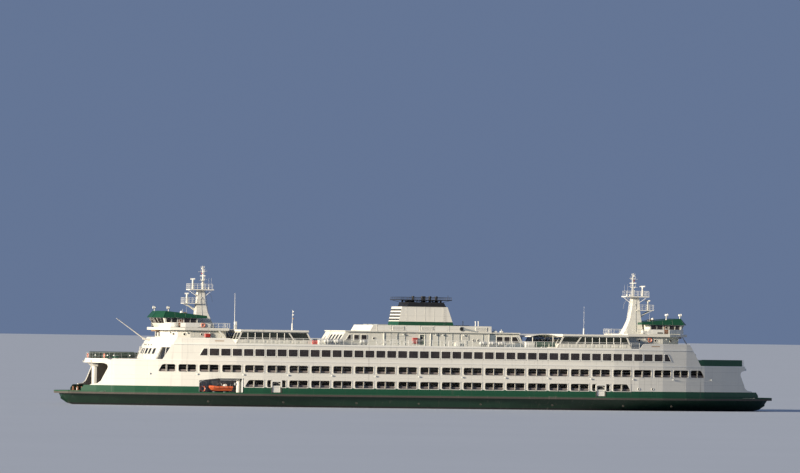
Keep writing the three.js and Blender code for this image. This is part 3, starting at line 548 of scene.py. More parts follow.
@dataclass(frozen=True)
class Rubber(Finish):
    """Rubber, coated fabric or rope, matt and finely grained.

    Attributes:
        twist: how many strands to a metre show, or 0 for a smooth skin.
    """

    twist: float = 0.0

    def shade(self, shader: Shader) -> bpy.types.Material:
        """A fine grain, faded patches and scuffs.

        Args:
            shader: the material in the making.

        Returns:
            The material.
        """
        place = shader.place()
        fade = shader.noise(place, 1.3, 4)
        grain = shader.noise(place, 40.0, 2)
        if self.twist:
            along = shader.axis(shader.place(turn=(0.6, 0.6, 0.0)), "X")
            grain = grain * 0.3 + along.lines(1 / self.twist, 0.4 / self.twist)
        colour = shader.mix(fade.step(0.3, 0.75), self.colour, shaded(self.colour, 1.35))
        colour = shader.mix(grain.step(0.55, 0.75) * 0.25, colour, GRIME)
        return shader.surface(
            Base_Color=colour,
            Roughness=fade * 0.15 + (self.rough - 0.08),
            Normal=shader.bump(grain, 0.006, 0.6),
        )


@dataclass(frozen=True)
class Wood(Finish):
    """Varnished timber with its grain."""

    def shade(self, shader: Shader) -> bpy.types.Material:
        """Grain, pores and worn varnish.

        Args:
            shader: the material in the making.

        Returns:
            The material.
        """
        grain = shader.noise(shader.place((0.4, 7.0, 0.5)), 2.2, 5, 0.6)
        pores = shader.noise(shader.place((1.0, 30.0, 1.0)), 4.0, 2).step(0.55, 0.7)
        worn = shader.noise(shader.place(), 1.4, 3).step(0.5, 0.75)
        colour = shader.mix(grain.step(0.3, 0.7), shaded(self.colour, 0.6), shaded(self.colour, 1.25))
        colour = shader.mix(pores * 0.4, colour, shaded(self.colour, 0.35))
        return shader.surface(
            Base_Color=colour,
            Roughness=worn * 0.25 + (self.rough - 0.1),
            Coat_Weight=0.5 - worn * 0.4,
            Normal=shader.bump(grain - pores * 0.5, 0.004, 0.5),
        )


@dataclass(frozen=True)
class Lens(Finish):
    """A lamp's ribbed lens, softly lit from inside.

    Attributes:
        glow: how bright it is lit.
    """

    glow: float = 0.4

    def shade(self, shader: Shader) -> bpy.types.Material:
        """Ribs, a warmer middle and dust.

        Args:
            shader: the material in the making.

        Returns:
            The material.
        """
        place = shader.place()
        ribs = shader.axis(place, "Z").lines(0.06, 0.03)
        dust = shader.noise(place, 8.0, 3)
        colour = shader.mix(ribs * 0.4 + dust * 0.2, self.colour, shaded(self.colour, 0.5))
        return shader.surface(
            Base_Color=colour,
            Roughness=dust * 0.2 + self.rough,
            Emission_Color=colour,
            Emission_Strength=self.glow,
            Normal=shader.bump(ribs, 0.01),
        )


CREAM = (0.78, 0.74, 0.64)
STRAKE_GREEN = (0.009, 0.074, 0.032)
HULL_GREEN = (0.009, 0.04, 0.021)
DECK_GREEN = (0.045, 0.12, 0.08)
DECK_BUFF = (0.36, 0.26, 0.22)
GUARD_BROWN = (0.075, 0.062, 0.05)
SOFT_BLACK = (0.012, 0.012, 0.013)
WHITE = Paint("white_paint", CREAM, "white", 0.45)
TRIM = Paint("white_trim", (0.82, 0.79, 0.7), "white", 0.4, streak=0.2, plate=(0, 0))
# A grey that stands for white paint in shade: painted shade on the mezzanines, the soffit beams, the line
# under the sun deck's strip and white rails and fittings in shadow; elsewhere a plain grey for seams,
# louvres, hatches and lamp bodies.
SHADE_GREY = Paint("grey_paint_and_painted_shade", (0.36, 0.38, 0.37), "white", 0.5, streak=0.3, plate=(0, 0))
GREEN = Paint("strake_green", STRAKE_GREEN, "green", 0.42, streak=0.25, drift=0.2)
ROOF_GREEN = Paint("roof_green", (0.009, 0.068, 0.029), "green", 0.4, streak=0.15, drift=0.2, plate=(0, 0))
HULL = Paint(
    "hull_paint",
    PRIMER,
    "hull_green",
    0.5,
    bands=((-0.25, (0.015, 0.015, 0.016)), (0.35, HULL_GREEN)),
    streak=0.6,
    drift=0.25,
    wander=0.05,
)
GUARD = Paint("guard_steel", GUARD_BROWN, "guard", 0.75, streak=0.9, drift=0.3, plate=(3.05, 9))
GUARD_RAIL = Paint(
    "guard_rail_steel",
    GUARD_BROWN,
    "guard",
    0.75,
    bands=((2.42, STRAKE_GREEN),),
    streak=0.9,
    drift=0.3,
    plate=(3.05, 9),
    wander=0.08,
)
RUSTY = Paint("rusty_steel", (0.24, 0.11, 0.06), "guard", 0.8, streak=0.6, drift=0.4, plate=(0, 0))
KERB = Paint("kerb_paint", (0.2, 0.165, 0.15), "deck", 0.7, streak=0.4, plate=(0, 0))
# Black paint, and near-black painted shade behind louvres, in the funnel's slots and in a vent's mouth.
BLACK = Paint("black_paint_and_painted_shade", SOFT_BLACK, "black", 0.5, streak=0.2, drift=0.2, plate=(0, 0))
FUNNEL_BANDS = Paint(
    "funnel_paint",
    STRAKE_GREEN,
    "white",
    0.42,
    bands=((16.1, CREAM), (18.85, SOFT_BLACK)),
    streak=0.25,
)
DECK = DeckPaint("vehicle_deck_paint", (0.16, 0.125, 0.11), "deck", 0.75)
SUN_DECK_PAINT = Paint("sun_deck_paint", CREAM, "white", 0.5, deck=(11.7, DECK_GREEN))
END_DECK_PAINT = Paint("passenger_deck_paint", CREAM, "white", 0.5, deck=(8.6, DECK_BUFF))
BRIDGE_DECK_PAINT = Paint("bridge_deck_paint", CREAM, "white", 0.5, deck=(14.4, DECK_GREEN))
ROOF_PAINT = Paint("roof_paint", CREAM, "white", 0.5, streak=0.5, deck=(30.0, (0.5, 0.5, 0.46)))
GLASS = Glass("window_glass", (0.02, 0.015, 0.013), "glass", 0.12)
# Near-black paint that stands for the shade inside the car decks: painted shade on the ramps' bulkheads and
# in the band inside each window opening.
CAR_DECK_PAINTED_SHADE = Paint("car_deck_shade", (0.05, 0.048, 0.045), "deck", 0.7, streak=0.3, plate=(0, 0))
DARK_GLASS = Glass("dark_glass", (0.008, 0.008, 0.007), "glass", 0.25)
CLEAR_GLASS = Glass("shelter_glass", (0.022, 0.026, 0.018), "glass", 0.12, see_through=0.3)
STEEL = Metal("galvanised_steel", (0.5, 0.5, 0.49), "steel", 0.45)
BRONZE = Metal("propeller_bronze", (0.62, 0.4, 0.16), "bronze", 0.32, (0.12, 0.16, 0.11), 0.5)
ORANGE = Rubber("orange_tube_fabric", (0.62, 0.12, 0.035), "orange", 0.55)
BUOY = Rubber("life_ring_orange", (0.6, 0.16, 0.08), "orange", 0.6)
RED = Paint("red_paint", (0.45, 0.03, 0.02), "red", 0.4, streak=0.2, plate=(0, 0))
TAN = Rubber("tan_canvas", (0.32, 0.2, 0.11), "orange", 0.7)
# A blue-grey that stands for white paint in sky-lit shade: painted shade on the foot of the deckhouse's end
# at end a; also the blue-grey of the panels at end b.
BLUE_GREY = Paint("blue_grey_paint_and_painted_shade", (0.2, 0.24, 0.27), "white", 0.5, streak=0.2, plate=(0, 0))
DARK_GREEN_DOOR = Paint("dark_green_door", (0.03, 0.08, 0.05), "green", 0.45, streak=0.2, plate=(0, 0))
BLACK_RUBBER = Rubber("black_rubber", (0.02, 0.02, 0.02), "black", 0.75)
WIRE_ROPE = Rubber("wire_rope", (0.3, 0.3, 0.29), "rope", 0.55, twist=20)
DOOR_WOOD = Wood("varnished_door", (0.27, 0.1, 0.035), "wood", 0.35)
LAMP = Lens("lamp_lens", (0.9, 0.87, 0.75), "glass", 0.2)


# Shapes

PALETTE: list[Finish] = []
TURN = Matrix.Rotation(math.pi, 4, "Z")
ACROSS = Matrix.Scale(-1, 4, TO_PORT)
SHARP_ANGLE = math.radians(32)


class End(Enum):
    """The ship's two ends. End a is the left one in the photograph."""

    A = "a"
    B = "b"

    def __str__(self) -> str:
        """Its letter, as it stands in the nodes' names."""
        return self.value


def place_of(finish: Finish) -> int:
    """The finish's place in the palette.

    Args:
        finish: the finish, which is added if it isn't there yet.

    Returns:
        Its number.
    """
    if finish not in PALETTE:
        PALETTE.append(finish)
    return PALETTE.index(finish)


def facing(point: Point, way: Point) -> Matrix:
    """The matrix that puts the origin at a point and turns +Z along a way."""
    turn = Vector(way).to_track_quat("Z", "Y").to_matrix().to_4x4()
    return Matrix.Translation(Vector(point)) @ turn


class Shape:
    """A piece in the making, in real metres. Each face keeps its finish by its place in the palette."""

    def __init__(self) -> None:
        """Starts with nothing in it."""
        self.mesh = bmesh.new()

    def take(self, part: bmesh.types.BMesh, finish: Finish, matrix: Matrix | None = None) -> "Shape":
        """Adds one closed form.

        Args:
            part: the form, which is used up.
            finish: its finish.
            matrix: where it goes, if it isn't there yet.

        Returns:
            This shape.
        """
        bmesh.ops.recalc_face_normals(part, faces=part.faces)
        number = place_of(finish)
        for face in part.faces:
            face.material_index = number
        held = bpy.data.meshes.new("held")
        part.to_mesh(held)
        part.free()
        if matrix is not None:
            held.transform(matrix)
        self.mesh.from_mesh(held)
        bpy.data.meshes.remove(held)
        return self

    def stamp(self, other: "Shape", *places: Matrix) -> "Shape":
        """Adds copies of another shape.

        Args:
            other: the shape.
            places: a matrix for each copy. A mirroring one turns the faces back out.

        Returns:
            This shape.
        """
        held = bpy.data.meshes.new("held")
        other.mesh.to_mesh(held)
        for matrix in places:
            copy = held.copy()
            copy.transform(matrix)
            if matrix.determinant() < 0:
                copy.flip_normals()
            self.mesh.from_mesh(copy)
            bpy.data.meshes.remove(copy)
        bpy.data.meshes.remove(held)
        return self

    def twice(self, matrix: Matrix = TURN) -> "Shape":
        """This shape and its copy: turned half a turn, or mirrored across the ship."""
        return Shape().stamp(self, Matrix(), matrix)

    def at(self, end: End, drawn: End = End.B) -> "Shape":
        """A copy of this shape at an end, turned if it is drawn at the other one."""
        return Shape().stamp(self, Matrix() if end is drawn else TURN)

    def add(self, *others: "Shape") -> "Shape":
        """Adds other shapes where they are.

        Args:
            others: the shapes.

        Returns:
            This shape.
        """
        for other in others:
            self.stamp(other, Matrix())
        return self

    def box(self, low: Point, high: Point, finish: Finish, bevel: float = 0.0) -> "Shape":
        """Adds a block.

        Args:
            low: its lowest corner.
            high: its highest corner.
            finish: its finish.
            bevel: how far its edges are broken.

        Returns:
            This shape.
        """
        part = bmesh.new()
        size = [b - a for a, b in zip(low, high)]
        middle = [(a + b) / 2 for a, b in zip(low, high)]
        bmesh.ops.create_cube(part, size=1, matrix=Matrix.LocRotScale(middle, None, size))
        if bevel:
            soften(part, part.edges, bevel)
        return self.take(part, finish)

    def block(self, middle: Pair, half: Pair, levels: Pair, finish: Finish, bevel: float = 0.0) -> "Shape":
        """Adds an upright block around a place.

        Args:
            middle: the place, as (x, y).
            half: half its length and half its breadth.
            levels: the heights of its foot and head.
            finish: its finish.
            bevel: how far its edges are broken.

        Returns:
            This shape.
        """
        (x, y), (long, wide), (foot, head) = middle, half, levels
        return self.box((x - long, y - wide, foot), (x + long, y + wide, head), finish, bevel)

    def row(
        self,
        places: Iterable[float],
        half: float,
        across: Pair,
        levels: Pair,
        finish: Finish,
        bevel: float = 0.0,
    ) -> "Shape":
        """Adds the same upright block at some places along the ship.

        Args:
            places: the places, as x.
            half: half the block's length.
            across: where it starts and ends across the ship.
            levels: the heights of its foot and head.
            finish: its finish.
            bevel: how far its edges are broken.

        Returns:
            This shape.
        """
        (left, right), (foot, head) = across, levels
        for x in places:
            self.box((x - half, left, foot), (x + half, right, head), finish, bevel)
        return self

    def rod(
        self,
        start: Point,
        end: Point,
        radius: float,
        finish: Finish,
        sides: int = 6,
        tip: float | None = None,
    ) -> "Shape":
        """Adds a round bar.

        Args:
            start: the middle of its first end.
            end: the middle of its last end.
            radius: its radius at the start.
            finish: its finish.
            sides: how many sides it has.
            tip: its radius at the end, if another.

        Returns:
            This shape.
        """
        way = Vector(end) - Vector(start)
        part = bmesh.new()
        bmesh.ops.create_cone(
            part,
            cap_ends=True,
            segments=sides,
            radius1=radius,
            radius2=radius if tip is None else tip,
            depth=way.length,
            matrix=facing((Vector(start) + Vector(end)) / 2, way),
        )
        return self.take(part, finish)

    def pipe(self, points: Sequence[Point], radius: float, finish: Finish, sides: int = 6) -> "Shape":
        """Adds a bent tube.

        Args:
            points: what its middle line goes through.
            radius: its radius.
            finish: its finish.
            sides: how many sides it has.

        Returns:
            This shape.
        """
        path = [Vector(p) for p in points]
        ways = [(b - a).normalized() for a, b in zip(path, path[1:])]
        heads = [ways[0], *((a + b).normalized() for a, b in zip(ways, ways[1:])), ways[-1]]
        part = bmesh.new()
        start = facing(path[0], heads[0])
        bmesh.ops.create_circle(part, cap_ends=True, segments=sides, radius=radius, matrix=start)
        edges = list(part.edges)
        for before, here, was, now in zip(path, path[1:], heads, heads[1:]):
            made = bmesh.ops.extrude_edge_only(part, edges=edges)["geom"]
            ring = [g for g in made if isinstance(g, bmesh.types.BMVert)]
            edges = [g for g in made if isinstance(g, bmesh.types.BMEdge) and set(g.verts) <= set(ring)]
            bmesh.ops.translate(part, vec=here - before, verts=ring)
            turn = was.rotation_difference(now).to_matrix()
            bmesh.ops.rotate(part, cent=here, matrix=turn, verts=ring)
        bmesh.ops.contextual_create(part, geom=edges)
        return self.take(part, finish)

    def lathe(
        self, profile: Sequence[Point], foot: Point, axis: Point, finish: Finish, steps: int = 16
    ) -> "Shape":
        """Adds a turned form.

        Args:
            profile: its half section as (along the axis, radius), from end to end.
            foot: where the axis starts.
            axis: which way it runs.
            finish: its finish.
            steps: how many sides it has.

        Returns:
            This shape.
        """
        part = bmesh.new()
        verts = [part.verts.new((r, 0, h)) for h, r in profile]
        edges = [part.edges.new(pair) for pair in zip(verts, verts[1:])]
        bmesh.ops.spin(
            part,
            geom=[*verts, *edges],
            cent=(0, 0, 0),
            axis=UP,
            angle=math.tau,
            steps=steps,
            use_merge=True,
        )
        bmesh.ops.remove_doubles(part, verts=part.verts, dist=1e-4)
        bmesh.ops.holes_fill(part, edges=part.edges, sides=steps)
        return self.take(part, finish, facing(foot, axis))

    def plate(
        self,
        outline: Sequence[Point],
        thick: Point,
        finish: Finish,
        round_by: float = 0.0,
        bevel: float = 0.0,
    ) -> "Shape":
        """Adds a flat plate.

        Args:
            outline: its corners.
            thick: which way and how far it is drawn out.
            finish: its finish.
            round_by: how far its corners are rounded.
            bevel: how far its edges are broken.

        Returns:
            This shape.
        """
        part = flat(outline, round_by)
        draw_out(part, thick)
        if bevel:
            soften(part, part.edges, bevel)
        return self.take(part, finish)

    def rim(
        self,
        outline: Sequence[Point],
        inner: Sequence[Point],
        thick: Point,
        finish: Finish,
        rounds: Pair = (0.0, 0.0),
        corners: Sequence[int] | None = None,
    ) -> "Shape":
        """Adds a frame, such as a window's.

        Args:
            outline: its outer corners.
            inner: its inner corners.
            thick: which way and how far it is drawn out.
            finish: its finish.
            rounds: how far its outer and its inner corners are rounded.
            corners: which inner corners are rounded, if not all.

        Returns:
            This shape.
        """
        part = flat(outline, rounds[0])
        hole = flat(inner, rounds[1], corners)
        held = bpy.data.meshes.new("held")
        hole.to_mesh(held)
        hole.free()
        part.from_mesh(held)
        bpy.data.meshes.remove(held)
        bmesh.ops.delete(part, geom=part.faces[:], context="FACES_ONLY")
        bmesh.ops.triangle_fill(part, use_beauty=True, use_dissolve=False, edges=part.edges[:])
        draw_out(part, thick)
        return self.take(part, finish)

    def ball(self, middle: Point, radius: float, finish: Finish, squash: Point = (1, 1, 1)) -> "Shape":
        """Adds a ball, or a squashed one.

        Args:
            middle: its middle.
            radius: its radius.
            finish: its finish.
            squash: how much it is scaled along each axis.

        Returns:
            This shape.
        """
        part = bmesh.new()
        bmesh.ops.create_uvsphere(part, u_segments=12, v_segments=8, radius=radius)
        bmesh.ops.scale(part, vec=squash, verts=part.verts)
        return self.take(part, finish, Matrix.Translation(Vector(middle)))

    def ring(
        self,
        middle: Point,
        axis: Point,
        radius: float,
        thick: float,
        finish: Finish,
        steps: int = 20,
        sides: int = 8,
        sweep: Pair = (0.0, 1.0),
    ) -> "Shape":
        """Adds a ring, or part of one.

        Args:
            middle: its middle.
            axis: what it turns about.
            radius: its radius.
            thick: its tube's radius.
            finish: its finish.
            steps: how many pieces the full turn has.
            sides: how many sides the tube has.
            sweep: where the part starts and ends, in turns.

        Returns:
            This shape.
        """
        part = bmesh.new()
        start = Matrix.Rotation(sweep[0] * math.tau, 4, "Z") @ facing((radius, 0, 0), TO_PORT)
        part_turn = (sweep[1] - sweep[0]) < 1
        bmesh.ops.create_circle(part, cap_ends=part_turn, segments=sides, radius=thick, matrix=start)
        bmesh.ops.spin(
            part,
            geom=[*part.verts, *part.edges],
            cent=(0, 0, 0),
            axis=UP,
            angle=(sweep[1] - sweep[0]) * math.tau,
            steps=max(2, round(steps * (sweep[1] - sweep[0]))),
            use_merge=not part_turn,
        )
        if part_turn:
            bmesh.ops.holes_fill(part, edges=part.edges, sides=sides)
        return self.take(part, finish, facing(middle, axis))

    def finish(self, name: str, body: str = SHIP, stands_for: Sequence[str] = ()) -> bpy.types.Object:
        """Makes the piece.

        Args:
            name: its name.
            body: the body that it rides on.
            stands_for: the CAD nodes that it replaces.

        Returns:
            The piece's object.
        """
        mesh = bpy.data.meshes.new(name)
        self.mesh.to_mesh(mesh)
        mesh.transform(Matrix.Scale(MODEL_SCALE, 4))
        places = [polygon.material_index for polygon in mesh.polygons]
        used = sorted(set(places), key=places.count, reverse=True)
        for place in used:
            mesh.materials.append(PALETTE[place].material())
        mesh.polygons.foreach_set("material_index", [used.index(place) for place in places])
        mesh.shade_smooth()
        mesh.set_sharp_from_angle(angle=SHARP_ANGLE)
        made = bpy.data.objects.new(name, mesh)
        bpy.context.scene.collection.objects.link(made)
        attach(made, body)
        if stands_for:
            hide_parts(*stands_for)
        log.info("%s: %d faces on %s", name, len(places), body)
        return made


def soften(part: bmesh.types.BMesh, edges: Iterable[bmesh.types.BMEdge], width: float) -> None:
    """Breaks some of a form's edges.

    Args:
        part: the form.
        edges: the edges.
        width: how far they are broken.
    """
    bmesh.ops.bevel(
        part,
        geom=list(edges),
        offset=width,
        segments=1,
        profile=0.5,
        affect="EDGES",
        material=-1,
        clamp_overlap=True,
    )


def flat(
    outline: Sequence[Point], round_by: float, corners: Sequence[int] | None = None
) -> bmesh.types.BMesh:
    """A single face on an outline, with some or all of its corners rounded.

    Args:
        outline: the outline's corners.
        round_by: how far they are rounded.
        corners: which of them are rounded, if not all.

    Returns:
        The face, as a form.
    """
    part = bmesh.new()
    verts = [part.verts.new(p) for p in outline]
    part.faces.new(verts)
    if round_by:
        bmesh.ops.bevel(
            part,
            geom=[verts[i] for i in corners] if corners else verts,
            offset=round_by,
            segments=3,
            profile=0.5,
            affect="VERTICES",
            material=-1,
            clamp_overlap=True,
        )
    return part


def draw_out(part: bmesh.types.BMesh, thick: Point) -> None:
    """Gives the faces of a flat form their thickness.

    Args:
        part: the form.
        thick: which way and how far its faces are drawn out.
    """
    made = bmesh.ops.extrude_face_region(part, geom=part.faces[:], use_keep_orig=True)["geom"]
    moved = [g for g in made if isinstance(g, bmesh.types.BMVert)]
    bmesh.ops.translate(part, vec=Vector(thick), verts=moved)


def dress(finish: Finish, *nodes: str) -> None:
    """Gives CAD nodes a finish.

    Args:
        finish: the finish.
        nodes: the nodes' names.
    """
    for name in nodes:
        frame["nodes"][name].material_slots[0].material = finish.material()
        log.info("%s: %s", name, finish.name)


def both(name: str) -> tuple[str, str]:
    """The names of a piece at the two ends."""
    return f"{name}_a", f"{name}_b"


def sides(name: str) -> tuple[str, str]:
    """The names of a piece on the two sides."""
    return f"{name}_starboard", f"{name}_port"


# Plan of the ship, and the ways that pieces are placed on it

HALF_BEAM = 13.4
STATIONS = (28, 34, 39, 44, 49, 53, 57, 60.5, 63.5, 66)
VEHICLE_DECK = 2.5
STRAKE_TOP = 3.62
PASSENGER_DECK = 8.5
SUN_DECK = 11.58
BRIDGE_DECK = 14.36
SHELTER_ROOF = 14.15
BAY = 4.19


def fair_breadth(x: float) -> float:
    """Half the breadth that the plating is drawn to at a station."""
    return HALF_BEAM - 0.0015 * (x - STATIONS[0]) ** 2.4


def half_breadth(x: float) -> float:
    """Half the breadth of the plating, which is flat between stations.

    Args:
        x: the place along the ship.

    Returns:
        Half the breadth there.
    """
    away = abs(x)
    if away <= STATIONS[0]:
        return HALF_BEAM
    after = max(1, next((i for i, s in enumerate(STATIONS) if s >= away), len(STATIONS) - 1))
    near, far = STATIONS[after - 1], STATIONS[after]
    share = (away - near) / (far - near)
    return fair_breadth(near) * (1 - share) + fair_breadth(far) * share


def side_line(start: float, end: float, z: float, out: float = 0.0) -> list[Point]:
    """A line along the starboard plating at a height, moved out."""
    between = [s for s in sorted([*STATIONS, *(-s for s in STATIONS)]) if start + 0.1 < s < end - 0.1]
    return [(x, -half_breadth(x) - out, z) for x in (start, *between, end)]


def on_wall(origin: Point, along: Point = ALONG, up: Point = UP) -> Matrix:
    """The matrix that puts a flat drawing on a wall.

    Args:
        origin: where the drawing's origin goes.
        along: which way its x runs.
        up: which way its y runs, about.

    Returns:
        The matrix. The drawing's z points out of the wall.
    """
    x = Vector(along).normalized()
    z = x.cross(Vector(up)).normalized()
    turn = Matrix((x, z.cross(x), z)).transposed().to_4x4()
    return Matrix.Translation(Vector(origin)) @ turn


def on_side(x: float, z: float, out: float = 0.0) -> Matrix:
    """The matrix that puts a flat drawing on the starboard plating, as wide as it is along the ship.

    Args:
        x: where its origin goes along the ship.
        z: how high its origin goes.
        out: how far it is moved out.

    Returns:
        The matrix.
    """
    step = 0.01
    slope = -(half_breadth(x + step) - half_breadth(x - step)) / (2 * step)
    stretch = Matrix.Scale(math.hypot(1, slope), 4, ALONG)
    return on_wall((x, -half_breadth(x) - out, z), (1, slope, 0)) @ stretch


def square(low: float, foot: float, high: float, head: float) -> list[Point]:
    """The corners of a rectangle drawn flat, from (low, foot) to (high, head)."""
    return [(low, foot, 0), (high, foot, 0), (high, head, 0), (low, head, 0)]


def around(width: float, high: float, out: float = 0.0) -> list[Point]:
    """The corners of a rectangle drawn flat around its middle, moved out by a little."""
    w, h = width / 2 + out, high / 2 + out
    return square(-w, -h, w, h)


# Fittings that repeat


def window(
    width: float, high: float, glass: Finish = GLASS, frame: float = 0.1, round_by: float = 0.12
) -> Shape:
    """A framed window, drawn flat around its middle.

    Args:
        width: its opening's width.
        high: its opening's height.
        glass: the glass's finish.
        frame: how wide its frame is.
        round_by: how far its opening's corners are rounded.

    Returns:
        The window.
    """
    made = Shape().plate(around(width, high, 0.02), (0, 0, 0.03), glass)
    made.rim(around(width, high, frame), around(width, high), (0, 0, 0.07), TRIM, (frame, round_by))
    w, h = width / 2 + frame, high / 2 + frame
    return made.box((-w, -h - 0.05, 0), (w, -h, 0.1), TRIM, 0.015)


def cut_window(pane: Sequence[Pair], frame: Sequence[Pair], rounds: Pair = (0.0, 0.0)) -> Shape:
    """A framed window of any outline, drawn flat."""
    inner, outer = ([(x, y, 0) for x, y in corners] for corners in (pane, frame))
    return Shape().plate(inner, (0, 0, 0.03), GLASS).rim(outer, inner, (0, 0, 0.07), TRIM, rounds)


def slit_window(width: float, high: float) -> Shape:
    """A flush dark window in a thin frame, around its middle."""
    made = Shape().rim(around(width, high, 0.07), around(width, high), (0, 0, 0.03), TRIM)
    return made.plate(around(width, high), (0, 0, 0.027), DARK_GLASS)


def porthole(radius: float = 0.22) -> Shape:
    """A round window with its bolted rim, drawn flat around its middle.

    Args:
        radius: its glass's radius.

    Returns:
        The porthole.
    """
    made = Shape().lathe([(0, 0), (0, radius), (0.03, radius), (0.03, 0)], (0, 0, 0), UP, GLASS)
    made.ring((0, 0, 0.02), UP, radius + 0.04, 0.05, TRIM, 20, 6)
    for turn in range(8):
        angle = turn * math.tau / 8
        place = ((radius + 0.06) * math.cos(angle), (radius + 0.06) * math.sin(angle), 0.05)
        made.ball(place, 0.025, STEEL)
    return made


def louvre(width: float, high: float, slats: int, finish: Finish = TRIM) -> Shape:
    """A louvred grille, drawn flat around its middle.

    Args:
        width: its width.
        high: its height.
        slats: how many slats it has.
        finish: its finish.

    Returns:
        The grille.
    """
    w, h = width / 2, high / 2
    # The black plate behind the slats is painted shade in the grille's gaps.
    made = Shape().plate(around(width, high), (0, 0, 0.02), BLACK)
    made.rim(around(width, high, 0.08), around(width, high), (0, 0, 0.08), finish)
    pitch = high / slats
    for slat in range(slats):
        foot = -h + slat * pitch
        head = foot + pitch * 0.7
        blade = [(-w, foot, 0.07), (w, foot, 0.07), (w, head, 0.02), (-w, head, 0.02)]
        made.plate(blade, (0, 0.015, 0.012), finish)
    return made


def doorleaf(width: float, high: float, finish: Finish, glazed: bool = True) -> Shape:
    """A hinged door with its frame, handle and hinges, drawn flat from the middle of its sill.

    Args:
        width: its width.
        high: its height.
        finish: the leaf's finish.
        glazed: whether it has a window.

    Returns:
        The door.
    """
    w = width / 2
    leaf = square(-w, 0, w, high)
    made = Shape().plate(leaf, (0, 0, 0.04), finish, 0.05)
    made.rim(square(-w - 0.1, -0.05, w + 0.1, high + 0.1), leaf, (0, 0, 0.07), TRIM, (0.1, 0.05))
    if glazed:
        pane = window(width * 0.5, high * 0.28, frame=0.05, round_by=0.05)
        made.stamp(pane, Matrix.Translation((0, high * 0.7, 0.03)))
    made.rod((w - 0.13, high * 0.42, 0.04), (w - 0.13, high * 0.55, 0.12), 0.02, STEEL)
    for share in (0.15, 0.5, 0.85):
        made.box((-w - 0.05, high * share - 0.06, 0.03), (-w + 0.06, high * share + 0.06, 0.09), STEEL, 0.01)
    return made


def life_ring(radius: float = 0.38) -> Shape:
    """A life ring with its four white bands and its grab line, drawn flat around its middle.

    Args:
        radius: the radius of the ring's middle line.

    Returns:
        The ring.
    """
    thick = radius * 0.26
    made = Shape()
    for quarter in range(4):
        start = quarter / 4
        made.ring((0, 0, thick), UP, radius, thick, BUOY, 24, 8, (start + 0.04, start + 0.25))
        made.ring((0, 0, thick), UP, radius, thick * 1.04, TRIM, 24, 8, (start, start + 0.04))
        line = (start + 0.045, start + 0.245)
        made.ring((0, 0, thick), UP, radius + thick * 1.25, 0.018, WIRE_ROPE, 24, 4, line)
    return made


def flood_lamp() -> Shape:
    """A small flood lamp on its bracket, drawn flat and looking out.

    Returns:
        The lamp.
    """
    made = Shape().box((-0.04, -0.12, 0), (0.04, 0.12, 0.1), STEEL, 0.01)
    made.lathe([(0, 0.05), (0.1, 0.14), (0.2, 0.16), (0.2, 0)], (0, 0, 0.1), (0, -0.35, 1), SHADE_GREY, 12)
    return made.lathe([(0, 0.145), (0.03, 0.1), (0.04, 0)], (0, -0.066, 0.289), (0, -0.35, 1), LAMP, 12)


def searchlight() -> Shape:
    """A searchlight on its post, looking along +x from its foot.

    Returns:
        The searchlight.
    """
    made = Shape().rod((0, 0, 0), (0, 0, 0.62), 0.1, TRIM, 10, 0.08)
    made.lathe([(0, 0.2), (0.05, 0.2), (0.06, 0.08)], (0, 0, 0), UP, TRIM, 12)
    made.pipe([(0, -0.34, 1.0), (0, -0.34, 0.75), (0, 0, 0.62), (0, 0.34, 0.75), (0, 0.34, 1.0)], 0.035, TRIM)
    drum = [(-0.32, 0), (-0.3, 0.16), (-0.2, 0.27), (0.26, 0.3), (0.3, 0.33), (0.34, 0.33), (0.34, 0.27)]
    made.lathe([*drum, (0.26, 0.25), (0.26, 0)], (0, 0, 1.0), (1, 0, 0.05), TRIM, 16)
    made.lathe([(0.27, 0.25), (0.3, 0.15), (0.31, 0)], (0, 0, 1.0), (1, 0, 0.05), LAMP, 16)
    for out in (-0.1, 0, 0.1):
        made.ring((out, 0, 1.0), (1, 0, 0.05), 0.275, 0.02, STEEL, 16, 4)
    return made


def fence(
    path: Sequence[Point],
    high: float = 1.05,
    pitch: float = 1.5,
    rails: int = 3,
    finish: Finish = TRIM,
    radius: float = 0.03,
) -> Shape:
    """A railing.

    Args:
        path: where its posts' feet run.
        high: how high it is.
        pitch: how far apart its posts are.
        rails: how many rails it has.
        finish: its finish.
        radius: the posts' radius.

    Returns:
        The railing.
    """
    made = Shape()
    points = [Vector(p) for p in path]
    for start, end in zip(points, points[1:]):
        count = max(1, round((end - start).length / pitch))
        for number in range(count + (end is points[-1])):
            foot = start.lerp(end, number / count)
            made.rod(foot, foot + Vector((0, 0, high)), radius, finish, 5)
    for number in range(rails):
        lift = Vector((0, 0, high * (number + 1) / rails))
        made.pipe([p + lift for p in points], radius * (1.25 if number == rails - 1 else 0.7), finish, 5)
    return made


def ladder(foot: Point, head: Point, across: Point, finish: Finish = TRIM, pitch: float = 0.32) -> Shape:
    """A ladder between two points, with its rails half of across to each side.

    Args:
        foot: the middle of its foot.
        head: the middle of its head.
        across: the way from one rail to the other.
        finish: its finish.
        pitch: how far apart its rungs are.

    Returns:
        The ladder.
    """
    a, b, half = Vector(foot), Vector(head), Vector(across) / 2
    made = Shape().rod(a - half, b - half, 0.03, finish, 5).rod(a + half, b + half, 0.03, finish, 5)
    count = int((b - a).length / pitch)
    for number in range(1, count):
        middle = a.lerp(b, number / count)
        made.rod(middle - half, middle + half, 0.018, finish, 4)
    return made


# Car decks


